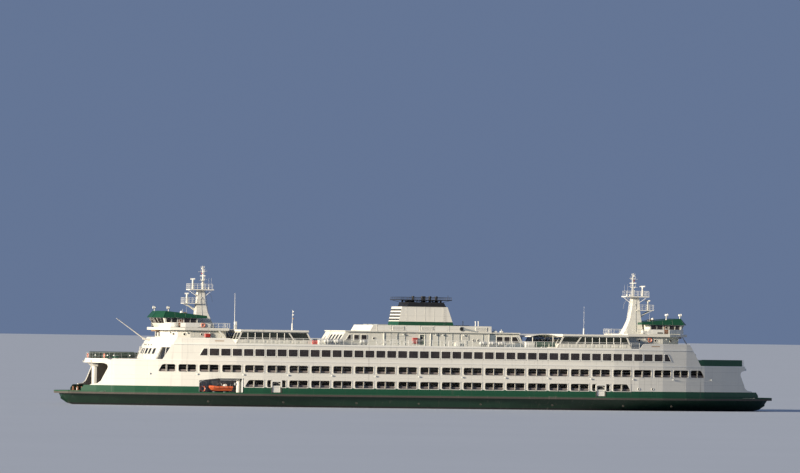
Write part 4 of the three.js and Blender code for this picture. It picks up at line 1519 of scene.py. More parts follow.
@dataclass
class CarDeckSides:
    """The starboard plating at the car decks and what is fixed to it. The port side is the same, turned.

    Attributes:
        bays: how wide each pair of windows' bay is, in full bays from the middle outwards.
        share: how much of a bay its windows take up.
        mullion: how wide the bar between two windows is.
        upper: the foot and head of the upper windows.
        lower: the foot and head of the lower openings.
        lower_bays: how many bays the lower openings have to each end.
        gate_bay: which of them, from the middle, holds the gate.
        gate: half the gate's width, its posts' width and its head.
        hook: the bent pipe behind the gate, as (along the ship from the gate's middle, z).
        trim: how wide the white trim around a window is.
        seal: how wide the near-black band of painted shade inside it is, which stands for the shade in the
            opening.
        radius: how far its outer corners are rounded.
        slant: how far the last window's head slants in.
    """

    bays: tuple[float, ...] = (1, 1, 1, 1, 1, 1, 1, 1, 1, 1, 0.98, 0.89, 0.85)
    share: float = 0.85
    mullion: float = 0.26
    upper: Pair = (6.38, 7.57)
    lower: Pair = (STRAKE_TOP, 4.86)
    lower_bays: int = 9
    gate_bay: int = 7
    gate: tuple[float, float, float] = (0.83, 0.2, 4.7)
    hook: tuple[Pair, ...] = (
        (-0.8, 3.95),
        (-0.6, 3.97),
        (-0.6, 4.3),
        (-0.45, 4.42),
        (0.3, 4.5),
        (0.5, 4.42),
        (0.8, 4.25),
    )
    trim: float = 0.09
    seal: float = 0.08
    radius: float = 0.3
    slant: float = 0.75

    def opening(self, low: float, high: float, feet: Pair, outward: int, slant: bool) -> Shape:
        """The white trim around one window of a pair, with its outer corners rounded, and the band of painted
        shade just inside it.

        Args:
            low: where the window starts, along the wall.
            high: where it ends.
            feet: its foot and head.
            outward: 1 if its outer corners are at high, or -1.
            slant: whether its outer head slants in, as at a row's end.

        Returns:
            The trim, drawn flat.
        """
        foot, head = feet
        clear = square(low, foot, high, head)
        start, end = (low, high + self.seal) if outward < 0 else (low - self.seal, high)
        seen = square(start, foot - self.seal, end, head + self.seal)
        if slant:
            corner = 2 if outward > 0 else 3
            for outline in (clear, seen):
                x, y, z = outline[corner]
                outline[corner] = (x - outward * self.slant, y, z)
        corners = (1, 2) if outward > 0 else (0, 3)
        outer = square(
            start - self.trim * (outward < 0),
            foot - self.seal - self.trim,
            end + self.trim * (outward > 0),
            head + self.seal + self.trim,
        )
        # The near-black band inside the opening is painted shade.
        made = Shape().rim(seen, clear, (0, 0, 0.03), CAR_DECK_PAINTED_SHADE, (0, self.radius * 1.1), corners)
        return made.rim(outer, seen, (0, 0, 0.05), WHITE, (0, self.radius), corners)

    def pair(self, shape: Shape, x: float, width: float, feet: Pair, end: int = 0) -> None:
        """Adds the trims of a pair of windows.

        Args:
            shape: the shape that they are added to.
            x: the middle of the pair.
            width: the pair's width.
            feet: its foot and head.
            end: 1 or -1 if the row ends there.
        """
        for outward in (-1, 1):
            near, far = sorted((outward * self.mullion / 2, outward * width / 2))
            middle = x + (near + far) / 2
            half = (far - near) / 2
            trim = self.opening(-half, half, feet, outward, end == outward)
            shape.stamp(trim, on_side(middle, 0, -0.015))
        kerb = Shape().plate(square(-width / 2, feet[0], width / 2, feet[0] + 0.34), (0, 0, -0.03), KERB)
        shape.stamp(kerb, on_side(x, 0, -0.24))

    def windows(self) -> None:
        """Trims the two rows of windows."""
        shape = Shape()
        for side in (-1, 1):
            reached = 0.0
            for number, bay in enumerate(self.bays):
                width = bay * BAY
                last = number == len(self.bays) - 1
                self.pair(shape, side * (reached + width / 2), width * self.share, self.upper, side * last)
                reached += width
            for number in range(self.lower_bays):
                if number != self.gate_bay:
                    last = number == self.lower_bays - 1
                    x = side * BAY * (number + 0.5)
                    foot = (self.lower[0] + 0.08, self.lower[1])
                    self.pair(shape, x, BAY * self.share, foot, side * last)
        shape.twice().finish("car_deck_window_trims")

    def rails(self) -> None:
        """Puts the rails and the cable trays inside the windows, and the mouldings outside."""
        shape = Shape()
        for z, reach, radius, finish in ((7.15, 53.0, 0.015, STEEL), (4.02, 37.5, 0.04, SHADE_GREY)):
            shape.pipe(side_line(-reach, reach, z, -0.28), radius, finish, 5)
        shape.twice().finish("car_deck_rails")
        shape = Shape()
        for z, reach in ((5.62, 62.0), (8.24, 62.7)):
            shape.pipe(side_line(-reach, reach, z, 0.0), 0.035, TRIM, 5)
        for x in [s * (0.5 + n) * BAY * 2 for s in (-1, 1) for n in range(7)]:
            shape.stamp(flood_lamp(), on_side(x, 5.95, -0.08))
        shape.stamp(porthole(0.16), *(on_side(x, 4.08) for x in (39.0, 41.85)))
        shape.twice().finish("side_mouldings")

    def gates(self) -> None:
        """Dresses the bays of the boarding gates."""
        half, post, head = self.gate
        wide = BAY * self.share / 2
        shape = Shape()
        for x in (-BAY * (self.gate_bay + 0.5), BAY * (self.gate_bay + 0.5)):
            frame = Shape()
            outer = square(-half - post, self.lower[0] + 0.02, half + post, head + 0.2)
            inner = square(-half + 0.02, self.lower[0], half - 0.02, head - 0.05)
            frame.rim(outer, inner, (0, 0, 0.06), TRIM, (0.04, 0.2), (2, 3))
            for side in (-1, 1):
                low, high = sorted((side * (half + post), side * wide))
                frame.add(self.opening(low, high, (3.7, self.lower[1]), side, False))
                jamb = side * (half + 0.09)
                frame.box((jamb - 0.07, 2.6, 0.0), (jamb + 0.07, self.lower[0], 0.07), GUARD, 0.02)
            shape.stamp(frame, on_side(x, 0, -0.015))
            shape.pipe([(x + along, -half_breadth(x) + 0.3, z) for along, z in self.hook], 0.05, TRIM, 6)
        shape.twice().finish("gate_bays")

    def gate_leaves(self) -> None:
        """Puts the frame and bars on each gate leaf."""
        half = self.gate[0]
        for name, x in (("starboard_b", 1), ("starboard_a", -1), ("port_a", 1), ("port_b", -1)):
            middle = x * BAY * (self.gate_bay + 0.5)
            out = half_breadth(middle) - 0.2 + 0.1
            shape = Shape()
            outer = square(-half + 0.1, 2.72, half - 0.1, 3.86)
            shape.rim(outer, square(-half + 0.19, 2.81, half - 0.19, 3.77), (0, 0, 0.04), TRIM, (0.05, 0.05))
            for z in (3.05, 3.3, 3.55):
                shape.box((-half + 0.17, z - 0.03, 0), (half - 0.17, z + 0.03, 0.025), TRIM, 0.008)
            shape.box((half - 0.24, 3.2, 0.02), (half - 0.14, 3.34, 0.05), STEEL, 0.01)
            placed = Shape().stamp(shape, on_wall((middle, -out, 0)))
            if name.startswith("port"):
                placed = Shape().stamp(placed, TURN)
            placed.finish(f"gate_frame_{name}", f"gate_{name}")

    def build(self) -> None:
        """Dresses the car decks' sides."""
        self.windows()
        self.rails()
        self.gates()
        self.gate_leaves()


# Passenger cabin


@dataclass
class PassengerCabin:
    """The passenger cabin's windows, fronts and mouldings.

    Attributes:
        pitch: how far apart the windows are.
        count: how many there are from the middle to each end.
        size: a window's width and height.
        middle: the height of its middle.
        last: where the slanted window at the row's end starts.
        front: half the plan of the raked front, as (x, y) at its foot.
        rake: how far its head lies back.
        front_feet: the heights of its foot and head.
        wing: where the lintels beside it end.
        lintel: the height of their feet.
    """

    pitch: float = 2.1
    count: int = 21
    size: Pair = (1.74, 1.28)
    middle: float = 9.95
    last: float = 44.3
    front: tuple[Pair, ...] = ((53.6, 0), (53.3, 3.2), (52.65, 7.0))
    rake: float = 1.2
    front_feet: Pair = (8.504, 11.296)
    wing: Pair = (50.95, 10.4)
    lintel: float = 10.72

    def side_windows(self) -> None:
        """Puts the windows into the sides, with a slanted one at each end of the row."""
        pane = window(*self.size)
        places = [s * (n + 0.5) * self.pitch for s in (-1, 1) for n in range(self.count)]
        shape = Shape().stamp(pane, *(on_side(x, self.middle, -0.01) for x in places))
        low = -self.size[1] / 2
        high = -low
        for side in (-1, 1):
            pane = [(0, low), (side * 1.38, low), (side * 0.66, high), (0, high)]
            edge = [(-side * 0.1, low - 0.1), (side * 1.56, low - 0.1)]
            edge += [(side * 0.72, high + 0.1), (-side * 0.1, high + 0.1)]
            end = cut_window(pane, edge, (0.08, 0.08))
            shape.stamp(end, on_side(side * self.last, self.middle, -0.01))
        shape.twice().finish("passenger_windows")

    def on_front(self, facet: int, share: float, z: float) -> Matrix:
        """The matrix that puts a flat drawing on the raked front of end b, on the starboard side.

        Args:
            facet: which of its flat parts, from the middle outwards.
            share: how far along that part.
            z: the height.

        Returns:
            The matrix.
        """
        (x0, y0), (x1, y1) = self.front[facet], self.front[facet + 1]
        foot, head = self.front_feet
        lean = -self.rake / (head - foot)
        x = x0 + (x1 - x0) * share + lean * (z - foot)
        y = -(y0 + (y1 - y0) * share)
        return on_wall((x, y, z), (x0 - x1, y1 - y0, 0), (lean, 0, 1))

    def fronts(self) -> None:
        """Puts the tall windows into the fronts, and across the gap beside each a big slanted near-black
        pane, which is painted shade standing for the dark of that gap.
        """
        slit = slit_window(1.14, 1.14)
        sill = Shape().box((-1.45, -0.08, -0.01), (1.45, 0.0, 0.09), TRIM, 0.02)
        shape = Shape()
        for facet, places in ((0, (0.29, 0.84)), (1, (0.37,))):
            shape.stamp(slit, *(self.on_front(facet, share, 9.95) for share in places))
            shape.stamp(sill, self.on_front(facet, 0.5, 9.05))
        shape.stamp(doorleaf(0.9, 1.95, TRIM, False), self.on_front(1, 0.82, 8.56))
        for share in (0.28, 0.72):
            shape.stamp(flood_lamp(), self.on_front(0, share, 11.08))
        foot, head = self.front_feet
        (x0, y0), (x1, y1), low = self.front[2], self.wing, self.lintel
        lintel = [(x0 - 0.95, -y0, low), (x1, -y1, low), (x1 - 0.35, -y1, head), (x0 - self.rake, -y0, head)]
        shape.plate(lintel, (-0.1, 0, 0), TRIM)
        # A near-black pane across the gap between the front and the side wall: painted shade.
        screen = [(x0 - 0.3, -y0, foot), (x1 + 0.9, 0.35 - y1, foot)]
        screen += [(x1 - 0.1, -y1, low), (x0 - 1.25, -y0, low)]
        shape.plate(screen, (-0.05, 0, 0), DARK_GLASS)
        shape.rod((51.75, -9.5, foot), (51.4, -9.5, low + 0.02), 0.06, TRIM, 6)
        shape.twice(ACROSS).twice().finish("cabin_front_windows")

    def mouldings(self) -> None:
        """Runs the deck edges' strips along the sides, with a grey pipe under the upper strip as a painted
        shadow line.
        """
        shape = Shape()
        for z, high, reach in ((8.28, 0.24, 62.55), (11.27, 0.34, 50.35)):
            line = side_line(-reach, reach, z, 0.0)
            for a, b in zip(line, line[1:]):
                strip = [a, b, (b[0], b[1], z + high), (a[0], a[1], z + high)]
                shape.plate(strip, (0, -0.05, 0), TRIM)
        # A grey pipe under the sun deck's strip: a painted shadow line.
        shape.pipe(side_line(-50.3, 50.3, 11.24, 0.02), 0.03, SHADE_GREY, 5)
        shape.twice().finish("deck_edge_strips")

    def build(self) -> None:
        """Dresses the cabin."""
        self.side_windows()
        self.fronts()
        self.mouldings()


# The open ends


@dataclass
class OpenEnds:
    """The ends of the car decks and of the passenger deck.

    Attributes:
        ramp: where the bulkheads beside the ramps start and end, and their side, foot and head.
        nose: half the plan of the rail around the deck's end, as (x, y).
        bulwark_end: where the green bulwark on one side ends.
        rail_start: where the rail on the other side starts.
        shell_end: the curved edge of the side plating.
        frames: where the green bulwark's frames stand.
        beams: where the beams over a mouth lie.
        beam_foot: how high their undersides are.
        soffit: how high the underside of the deck above them is.
        bitts: where the pairs of bitts stand on the vehicle deck.
        lanes: where the lane marks are.
    """

    ramp: tuple[float, float, float, float, float] = (38.2, 57.0, 6.7, 5.92, 8.28)
    nose: tuple[Pair, ...] = ((62.4, 5.8), (63.25, 3.5), (63.85, 0))
    bulwark_end: float = 61.95
    rail_start: float = 52.7
    shell_end: tuple[Pair, ...] = (
        (64.5, 3.66),
        (63.4, 3.8),
        (62.75, 4.3),
        (61.6, 6.7),
        (61.55, 7.1),
        (61.75, 7.5),
    )
    frames: tuple[float, ...] = (53.4, 54.9, 56.4, 57.9, 59.4, 60.9)
    beams: tuple[float, ...] = (61.9, 60.3, 58.7, 57.1, 55.5)
    beam_foot: float = 7.92
    soffit: float = 8.27
    bitts: tuple[Pair, ...] = ((61.2, 4.9), (61.2, -4.9), (65.2, 3.3), (65.2, -3.3))
    lanes: tuple[float, ...] = (1.75, 4.2, 6.6)

    def bulkheads(self) -> None:
        """Closes the sides of the ramps off from the lorry lanes with near-black walls, painted shade that
        stands for the dark inside of the car decks.
        """
        low, high, side, foot, head = self.ramp
        shape = Shape()
        for y in (-side, side):
            shape.box((low, y - 0.04, foot), (high, y + 0.04, head), CAR_DECK_PAINTED_SHADE)
            for number in range(13):
                x = low + 0.4 + number * 1.5
                shape.block((x, y), (0.04, 0.12), (foot, head), CAR_DECK_PAINTED_SHADE, 0.01)
        shape.twice().finish("ramp_bulkheads")

    def rails(self) -> None:
        """Puts the rails around the passenger deck's ends, with their life rings."""
        z = PASSENGER_DECK
        start = (self.bulwark_end, 0.12 - half_breadth(self.bulwark_end), z)
        starboard = [(x, -y, z) for x, y in self.nose]
        port = [(x, y, z) for x, y in reversed(self.nose[:-1])]
        side = [(x, -y, z) for x, y, z in reversed(side_line(self.rail_start, 62.2, z, -0.12))]
        shape = fence([start, *starboard, *port, *side], 1.08, 1.25, 4, SHADE_GREY, 0.02)
        ring = life_ring(0.32)
        for x, y in ((63.75, 0.5), (62.32, 7.0)):
            shape.stamp(ring, on_wall((x + 0.06, y, z + 0.5), (-0.1, 1, 0)))
        edge = [(x, half_breadth(x) - 0.1) for x in (60.6, 57.9)]
        for x, y in ((63.25, 3.5), (62.1, 8.0), *edge):
            shape.ball((x, y, z + 0.58), 0.13, LAMP)
        for x, y in ((60.6, 0), (59.4, -3.4), (59.4, 3.4)):
            shape.block((x, y), (0.35, 0.9), (z, z + 0.5), GREEN, 0.05)
            shape.block((x, y), (0.38, 0.93), (z + 0.5, z + 0.56), SHADE_GREY, 0.02)
        shape.twice().finish("end_deck_rails")

    def bulwark_frames(self) -> None:
        """Puts the cap rail and the frames on the green bulwarks."""
        shape = Shape().pipe(side_line(52.4, 61.9, 9.63, -0.07), 0.07, GREEN, 6)
        for x in self.frames:
            inner = 0.17 - half_breadth(x)
            frame = [(x, inner, 8.51), (x, inner + 0.45, 8.51), (x, inner + 0.06, 9.55), (x, inner, 9.55)]
            shape.plate(frame, (0.05, 0, 0), GREEN)
        shape.twice().finish("bulwark_frames")

    def arches(self) -> None:
        """Dresses the arch over each mouth: its beams, lamps and the pillar's brackets."""
        shape = Shape()
        # The beams and stringers under the soffit are grey: painted shade.
        for x in self.beams:
            side = half_breadth(x) - 0.5
            shape.box((x - 0.08, -side, self.beam_foot), (x + 0.08, side, self.soffit), SHADE_GREY, 0.02)
            shape.box((x - 0.2, -side, self.beam_foot - 0.04), (x + 0.2, side, self.beam_foot), SHADE_GREY)
        for y in (-4.6, -2.2, 2.2, 4.6):
            shape.box((57.1, y - 0.06, 7.98), (61.9, y + 0.06, self.soffit), SHADE_GREY, 0.02)
        for side in (-1, 1):
            shape.stamp(flood_lamp(), on_wall((63.72, side * 2.7, 7.98), (-side * 0.17, 1, 0)))
            shape.box((62.25, side * 0.82, 2.6), (62.75, side * 0.9, 7.0), TRIM, 0.02)
            edge = [(x - 0.1, side * (half_breadth(x) - 0.1), z) for x, z in self.shell_end]
            shape.pipe(edge, 0.13, TRIM, 6)
            shape.box((62.1, side * 0.8 - 0.02, 2.51), (62.9, side * 0.8 + 0.02, 2.9), STEEL, 0.01)
        shape.ring((62.84, 0, 3.6), ALONG, 0.12, 0.03, STEEL, 16, 6)
        shape.twice().finish("arch_fittings")

    def deck_gear(self) -> None:
        """Puts the bitts, the fairleads and the lane marks on the vehicle deck."""
        z = VEHICLE_DECK
        shape = Shape()
        for x, y in self.bitts:
            shape.block((x, y), (0.7, 0.28), (z, z + 0.08), RUSTY, 0.02)
            for along in (-0.42, 0.42):
                turned = [(0, 0.17), (0.6, 0.17), (0.63, 0.23), (0.7, 0.23), (0.72, 0.18)]
                shape.lathe(turned, (x + along, y, z + 0.07), UP, RUSTY, 12)
        for y in (-3.9, 3.9):
            shape.box((64.6, y - 0.2, z), (65.7, y + 0.2, z + 0.06), RUSTY, 0.02)
            for along in (-0.35, 0.35):
                post = [(0, 0.14), (0.4, 0.14), (0.42, 0.2), (0.48, 0.2)]
                shape.lathe(post, (65.1 + along, y, z), UP, STEEL, 12)
        shape.twice().finish("mooring_gear")
        shape = Shape()
        for y in self.lanes:
            for number in range(26):
                x = -63 + number * 5
                shape.box((x, y - 0.06, z + 0.003), (x + 2.5, y + 0.06, z + 0.015), TRIM)
        shape.twice(ACROSS).finish("lane_marks")

    def build(self) -> None:
        """Dresses both ends."""
        self.bulkheads()
        self.rails()
        self.bulwark_frames()
        self.arches()
        self.deck_gear()


# Boat recesses


@dataclass
class BoatRecess:
    """The recess in the side, its boat and its davit. The port side's is the same, turned.

    Attributes:
        outline: the recess's edge, as (x, z), from its lower right corner.
        floor: how high its floor is.
        back: where its back wall is.
        boat: the boat's bow, stern, middle, keel and rim.
        davit: where the davit's post stands, its radius and its head.
        hook: where the boat's lifting ring is, along the ship.
    """

    outline: tuple[Pair, ...] = (
        (-37.8, 2.64),
        (-37.8, 5.2),
        (-42, 5.2),
        (-44.6, 4.89),
        (-45.35, 4.62),
        (-45.7, 4.2),
        (-45.7, 2.64),
    )
    floor: float = 2.62
    back: float = -10.15
    boat: tuple[float, float, float, float, float] = (-43.95, -39.35, -11.2, 2.76, 3.75)
    davit: tuple[float, float, float, float] = (-38.25, -11.7, 0.38, 5.02)
    hook: float = -41.52

    def frame(self) -> None:
        """Trims the recess's edge and dresses its back wall."""
        shape = Shape()
        shape.pipe([(x, -half_breadth(x) - 0.02, z) for x, z in self.outline[:3]], 0.08, TRIM, 6)
        shape.pipe([(x, -half_breadth(x) + 0.04, z) for x, z in self.outline[2:]], 0.05, SHADE_GREY, 6)
        y = self.back - 0.02
        shape.stamp(doorleaf(0.8, 1.9, SHADE_GREY, False), on_wall((-44.4, y, self.floor)))
        shape.stamp(life_ring(0.48), on_wall((-44.95, -11.35, 3.2)))
        shape.row((-43.2, -41.5, -39.8), 0.04, (y - 0.12, y), (self.floor, 5.2), SHADE_GREY, 0.01)
        shape.pipe([(-43.4, y - 0.15, 4.95), (-38.2, y - 0.15, 4.95)], 0.06, SHADE_GREY, 6)
        shape.stamp(louvre(0.9, 0.6, 6), on_wall((-42.35, y, 4.2)))
        shape.box((-40.9, y - 0.3, 3.5), (-40.3, y, 4.4), TRIM, 0.04)
        for x in (-42.93, -42.67, -40.93, -40.67):
            shape.rod((x, -11.69, 2.72), (x, -10.3, 2.72), 0.02, BLACK_RUBBER, 5)
        shape.twice().finish("boat_recess_fittings")

    def boats(self) -> None:
        """Builds the rescue boats in place of the plain ones."""
        bow, stern, y, keel, rim = self.boat
        shape = Shape()
        side = [(stern, keel + 0.12), (bow + 1.6, keel + 0.02), (bow + 0.75, keel + 0.2)]
        side += [(bow + 0.22, rim - 0.3), (bow + 0.3, rim - 0.14), (stern, rim - 0.26)]
        for start, thick in ((-0.4, 0.8), (-0.55, 1.1)):
            drop = 0.0 if thick < 1 else 0.22
            profile = [(x, y + start, max(z, keel + drop + 0.1)) for x, z in side]
            shape.plate(profile, (0, thick, 0), ORANGE, bevel=0.1)
        collar = [(stern + 0.02, -0.54), (bow + 1.5, -0.56), (bow + 0.85, -0.47), (bow + 0.4, -0.25)]
        path = [(x, y + w, rim - 0.24 + 0.1 * (x < bow + 1)) for x, w in collar]
        path += [(x, y - w, rim - 0.24 + 0.1 * (x < bow + 1)) for x, w in reversed(collar)]
        shape.pipe(path, 0.22, ORANGE, 10)
        for x in (bow + 1.1, bow + 2.0, bow + 2.9, bow + 3.8):
            for w in (-0.55, 0.55):
                shape.ring((x, y + w, rim - 0.24), ALONG, 0.225, 0.02, BLACK_RUBBER, 14, 4)
        shape.box((stern - 1.55, y - 0.28, rim - 0.3), (stern - 0.95, y + 0.28, rim + 0.34), TRIM, 0.06)
        screen = [(stern - 1.6, y - 0.26, rim + 0.32), (stern - 1.6, y + 0.26, rim + 0.32)]
        screen += [(stern - 1.42, y + 0.22, rim + 0.62), (stern - 1.42, y - 0.22, rim + 0.62)]
        shape.plate(screen, (0.03, 0, 0), CLEAR_GLASS, 0.05)
        shape.ring((stern - 0.9, y, rim + 0.2), (1, 0, 0.5), 0.15, 0.02, BLACK, 16, 4)
        for x in (bow + 1.5, stern - 0.8):
            shape.block((x, y), (0.2, 0.32), (rim - 0.3, rim + 0.02), BLACK_RUBBER, 0.06)
        shape.box((stern - 0.3, y - 0.18, rim - 0.1), (stern + 0.0, y + 0.18, rim + 0.38), BLACK, 0.07)
        shape.box((stern - 0.18, y - 0.09, keel + 0.1), (stern - 0.04, y + 0.09, rim), SHADE_GREY, 0.03)
        ring = Vector((self.hook, y, rim + 0.62))
        for x, w in ((bow + 1.3, 0.3), (bow + 1.3, -0.3), (stern - 1.7, 0.32), (stern - 1.7, -0.32)):
            shape.rod((x, y + w, rim - 0.15), ring, 0.03, STEEL, 6)
        shape.ring(ring + Vector((0, 0, 0.08)), TO_PORT, 0.08, 0.02, STEEL, 14, 5)
        shape.rod(ring + Vector((0, 0, 0.14)), (self.hook, y, 4.73), 0.025, WIRE_ROPE, 5)
        for w in (-0.76, 0.76):
            line = []
            for number in range(8):
                low = number % 2
                line.append((bow + 0.9 + number * 0.45, y + w * (0.99 + 0.02 * low), rim - 0.2 - 0.06 * low))
            shape.pipe(line, 0.014, WIRE_ROPE, 4)
        for end in End:
            name = f"rescue_boat_{end}"
            shape.at(end, End.A).finish(f"{name}_dressed", f"davit_{end}", (name,))

    def davits(self) -> None:
        """Dresses the davits."""
        x, y, radius, high = self.davit
        collar = [(0.0, radius + 0.02), (0.06, radius + 0.02), (0.06, radius)]
        shape = Shape().lathe(collar, (x, y, 4.5), UP, TRIM)
        cap = [(0, 0.0), (0, radius + 0.03), (0.05, radius + 0.03), (0.09, radius * 0.7), (0.1, 0)]
        shape.lathe(cap, (x, y, high), UP, TRIM)
        shape.box((x - 0.75, y - 0.2, 3.9), (x - radius + 0.05, y + 0.2, 4.35), SHADE_GREY, 0.05)
        shape.rod((x - 0.55, y - 0.26, 4.12), (x - 0.55, y + 0.26, 4.12), 0.13, STEEL, 12)
        tip = (self.hook - 0.02, self.boat[2], high - 0.02)
        arm = [(x, y - 0.22, high - 0.3), (x, y - 0.22, high)]
        arm += [(tip[0], tip[1] - 0.12, high), (tip[0], tip[1] - 0.12, high - 0.2)]
        shape.plate(arm, (0, 0.03, 0), TRIM)
        wire = [(x - 0.55, y, 4.3), (x - 0.7, y + 0.05, 4.7), (x - 1.2, y + 0.1, high - 0.33)]
        shape.pipe(wire, 0.02, WIRE_ROPE, 5)
        sheave = [(0, 0), (0, 0.1), (0.05, 0.12), (0.1, 0.1), (0.1, 0)]
        shape.lathe(sheave, (tip[0], tip[1] - 0.05, high - 0.14), TO_PORT, STEEL, 14)
        for z in (2.9, 3.25, 3.6):
            shape.ring((x, y, z), UP, radius + 0.01, 0.02, STEEL, 20, 4)
        for end in End:
            shape.at(end, End.A).finish(f"davit_gear_{end}", f"davit_{end}")

    def build(self) -> None:
        """Dresses both recesses."""
        self.frame()
        self.boats()
        self.davits()


# The sun deck


@dataclass
class SunDeck:
    """What stands on the sun deck outside its houses.

    Attributes:
        rail_end: how far the rail along each side reaches from the middle.
        cap: how high the bulwarks' cap rail is.
        rafts: where the life rafts lie on each side.
        slots: the freeing slots in the starboard bulwark, as their ends and height.
        benches: where the benches along the side stand.
        rows: where the benches inside a shelter stand, along and across the ship.
        lockers: the lockers' places, lengths and heights.
        vents: where the round vents stand.
    """

    rail_end: float = 39.1
    cap: float = 12.47
    rafts: tuple[float, ...] = (-21.4, -19.6, -14.5, 8.6, 10.4, 12.2)
    slots: tuple[tuple[float, float, float], ...] = ((-43.0, -41.3, 12.0), (41.55, 43.3, 12.05))
    benches: tuple[float, ...] = (-10.5, -7.9, -5.3, 2.5, 5.1, 14.5)
    rows: tuple[tuple[float, ...], ...] = ((26.5, 29.2, 31.9, 34.6), (-8.6, -5.6, -2.6, 2.6, 5.6, 8.6))
    lockers: tuple[tuple[float, float, float, float], ...] = (
        (17.9, -11.6, 1.8, 0.95),
        (-22.3, -11.6, 1.6, 0.8),
        (-23.0, -9.4, 0.7, 1.0),
    )
    vents: tuple[Pair, ...] = ((-20.3, -8.2), (20.3, 8.6), (21.3, -8.4), (-21.5, 3.0))

    def rails(self) -> None:
        """Puts the rails along the sides and the rail on top of the bulwarks."""
        path = side_line(-self.rail_end, self.rail_end, SUN_DECK, -0.1)
        fence(path, 1.07, 1.56, 4).twice().finish("sun_deck_rails")
        shape = Shape().pipe(side_line(40.2, 49.6, self.cap, -0.1), 0.06, TRIM, 6)
        shape.pipe([(49.7, -10.9, self.cap), (50.75, -6.0, self.cap), (51.7, 0, self.cap)], 0.06, TRIM, 6)
        shape = shape.twice(ACROSS)
        for x in (41.5, 43.5, 45.5, 47.5):
            for side in (-1, 1):
                y = side * (half_breadth(x) - 0.2)
                frame = [(x, y, 11.59), (x, y - side * 0.4, 11.59), (x, y - side * 0.05, 12.4), (x, y, 12.4)]
                shape.plate(frame, (0.05, 0, 0), TRIM)
        for low, high, z in self.slots:
            points = side_line(low, high, z, 0.006)
            for a, b in zip(points, points[1:]):
                strip = [(*a[:2], z - 0.08), (*b[:2], z - 0.08), (*b[:2], z + 0.08), (*a[:2], z + 0.08)]
                shape.plate(strip, (0, 0.02, 0), TAN)
        shape.twice().finish("sun_deck_bulwarks")

    def raft(self) -> Shape:
        """A life raft in its canister, on its cradle by the rail.

        Returns:
            The raft, around its cradle's foot.
        """
        made = Shape()
        half = [(0.04, 0.33), (0.62, 0.31), (0.74, 0.22), (0.75, 0)]
        drum = [*((-along, radius) for along, radius in reversed(half)), (0.0, 0.35), *half]
        made.lathe(drum, (0, 0, 0.62), ALONG, TRIM, 16)
        for x in (-0.42, 0.42):
            made.ring((x, 0, 0.62), ALONG, 0.325, 0.02, BLACK_RUBBER, 18, 4)
            cradle = [(-0.34, 0), (0.34, 0), (0.34, 0.45), (0, 0.28), (-0.34, 0.45)]
            made.plate([(x - 0.04, y, z) for y, z in cradle], (0.08, 0, 0), STEEL)
        for y in (-0.3, 0.3):
            made.rod((-0.6, y, 0.05), (0.6, y, 0.05), 0.03, STEEL, 6)
        return made

    def bench(self) -> Shape:
        """A slatted bench, two metres long.

        Returns:
            The bench, around its foot.
        """
        made = Shape()
        for y in (-0.2, -0.05, 0.1):
            made.box((-1, y - 0.05, 0.42), (1, y + 0.05, 0.46), TRIM, 0.01)
        for z in (0.58, 0.76):
            made.box((-1, 0.2, z), (1, 0.24, z + 0.12), TRIM, 0.01)
        for x in (-0.85, 0, 0.85):
            made.pipe([(x, -0.22, 0), (x, -0.22, 0.4), (x, 0.17, 0.4), (x, 0.25, 0.88)], 0.025, STEEL, 5)
            made.rod((x, 0.15, 0), (x, 0.15, 0.4), 0.025, STEEL, 5)
        return made

    def fittings(self) -> None:
        """Puts out the rafts, benches, lockers and vents."""
        places = [Matrix.Translation((x, -12.3, SUN_DECK)) for x in self.rafts]
        Shape().stamp(self.raft(), *places).twice().finish("life_rafts")
        places = [Matrix.Translation((x, -10.4, SUN_DECK)) for x in self.benches]
        for x in self.rows[0]:
            for y in self.rows[1]:
                turn = Matrix.Rotation(math.pi * (y > 0), 4, "Z")
                places.append(Matrix.Translation((x, y, SUN_DECK)) @ turn)
        Shape().stamp(self.bench(), *places).twice().finish("benches")
        shape = Shape()
        for x, y, long, high in self.lockers:
            top = SUN_DECK + high
            shape.block((x, y), (long / 2, 0.4), (SUN_DECK, top), TRIM, 0.05)
            shape.block((x, y), (long / 2 + 0.04, 0.44), (top, top + 0.08), TRIM, 0.03)
            clips = (x - 0.3 * long, x + 0.3 * long)
            shape.row(clips, 0.05, (y - 0.43, y - 0.38), (top - 0.15, top + 0.03), STEEL, 0.01)
        cap = [(0, 0.16), (0.6, 0.16), (0.6, 0.3), (0.68, 0.34), (0.82, 0.24), (0.86, 0)]
        for x, y in self.vents:
            shape.lathe(cap, (x, y, SUN_DECK), UP, TRIM, 14)
        shape.row((19.4, 20.7, 22.0), 0.6, (-12.55, -12.5), (SUN_DECK + 0.1, SUN_DECK + 1.0), GREEN, 0.02)
        shape.box((-24.0, -11.3, SUN_DECK), (-23.1, -10.7, SUN_DECK + 0.75), RED, 0.04)
        shape.finish("sun_deck_lockers")

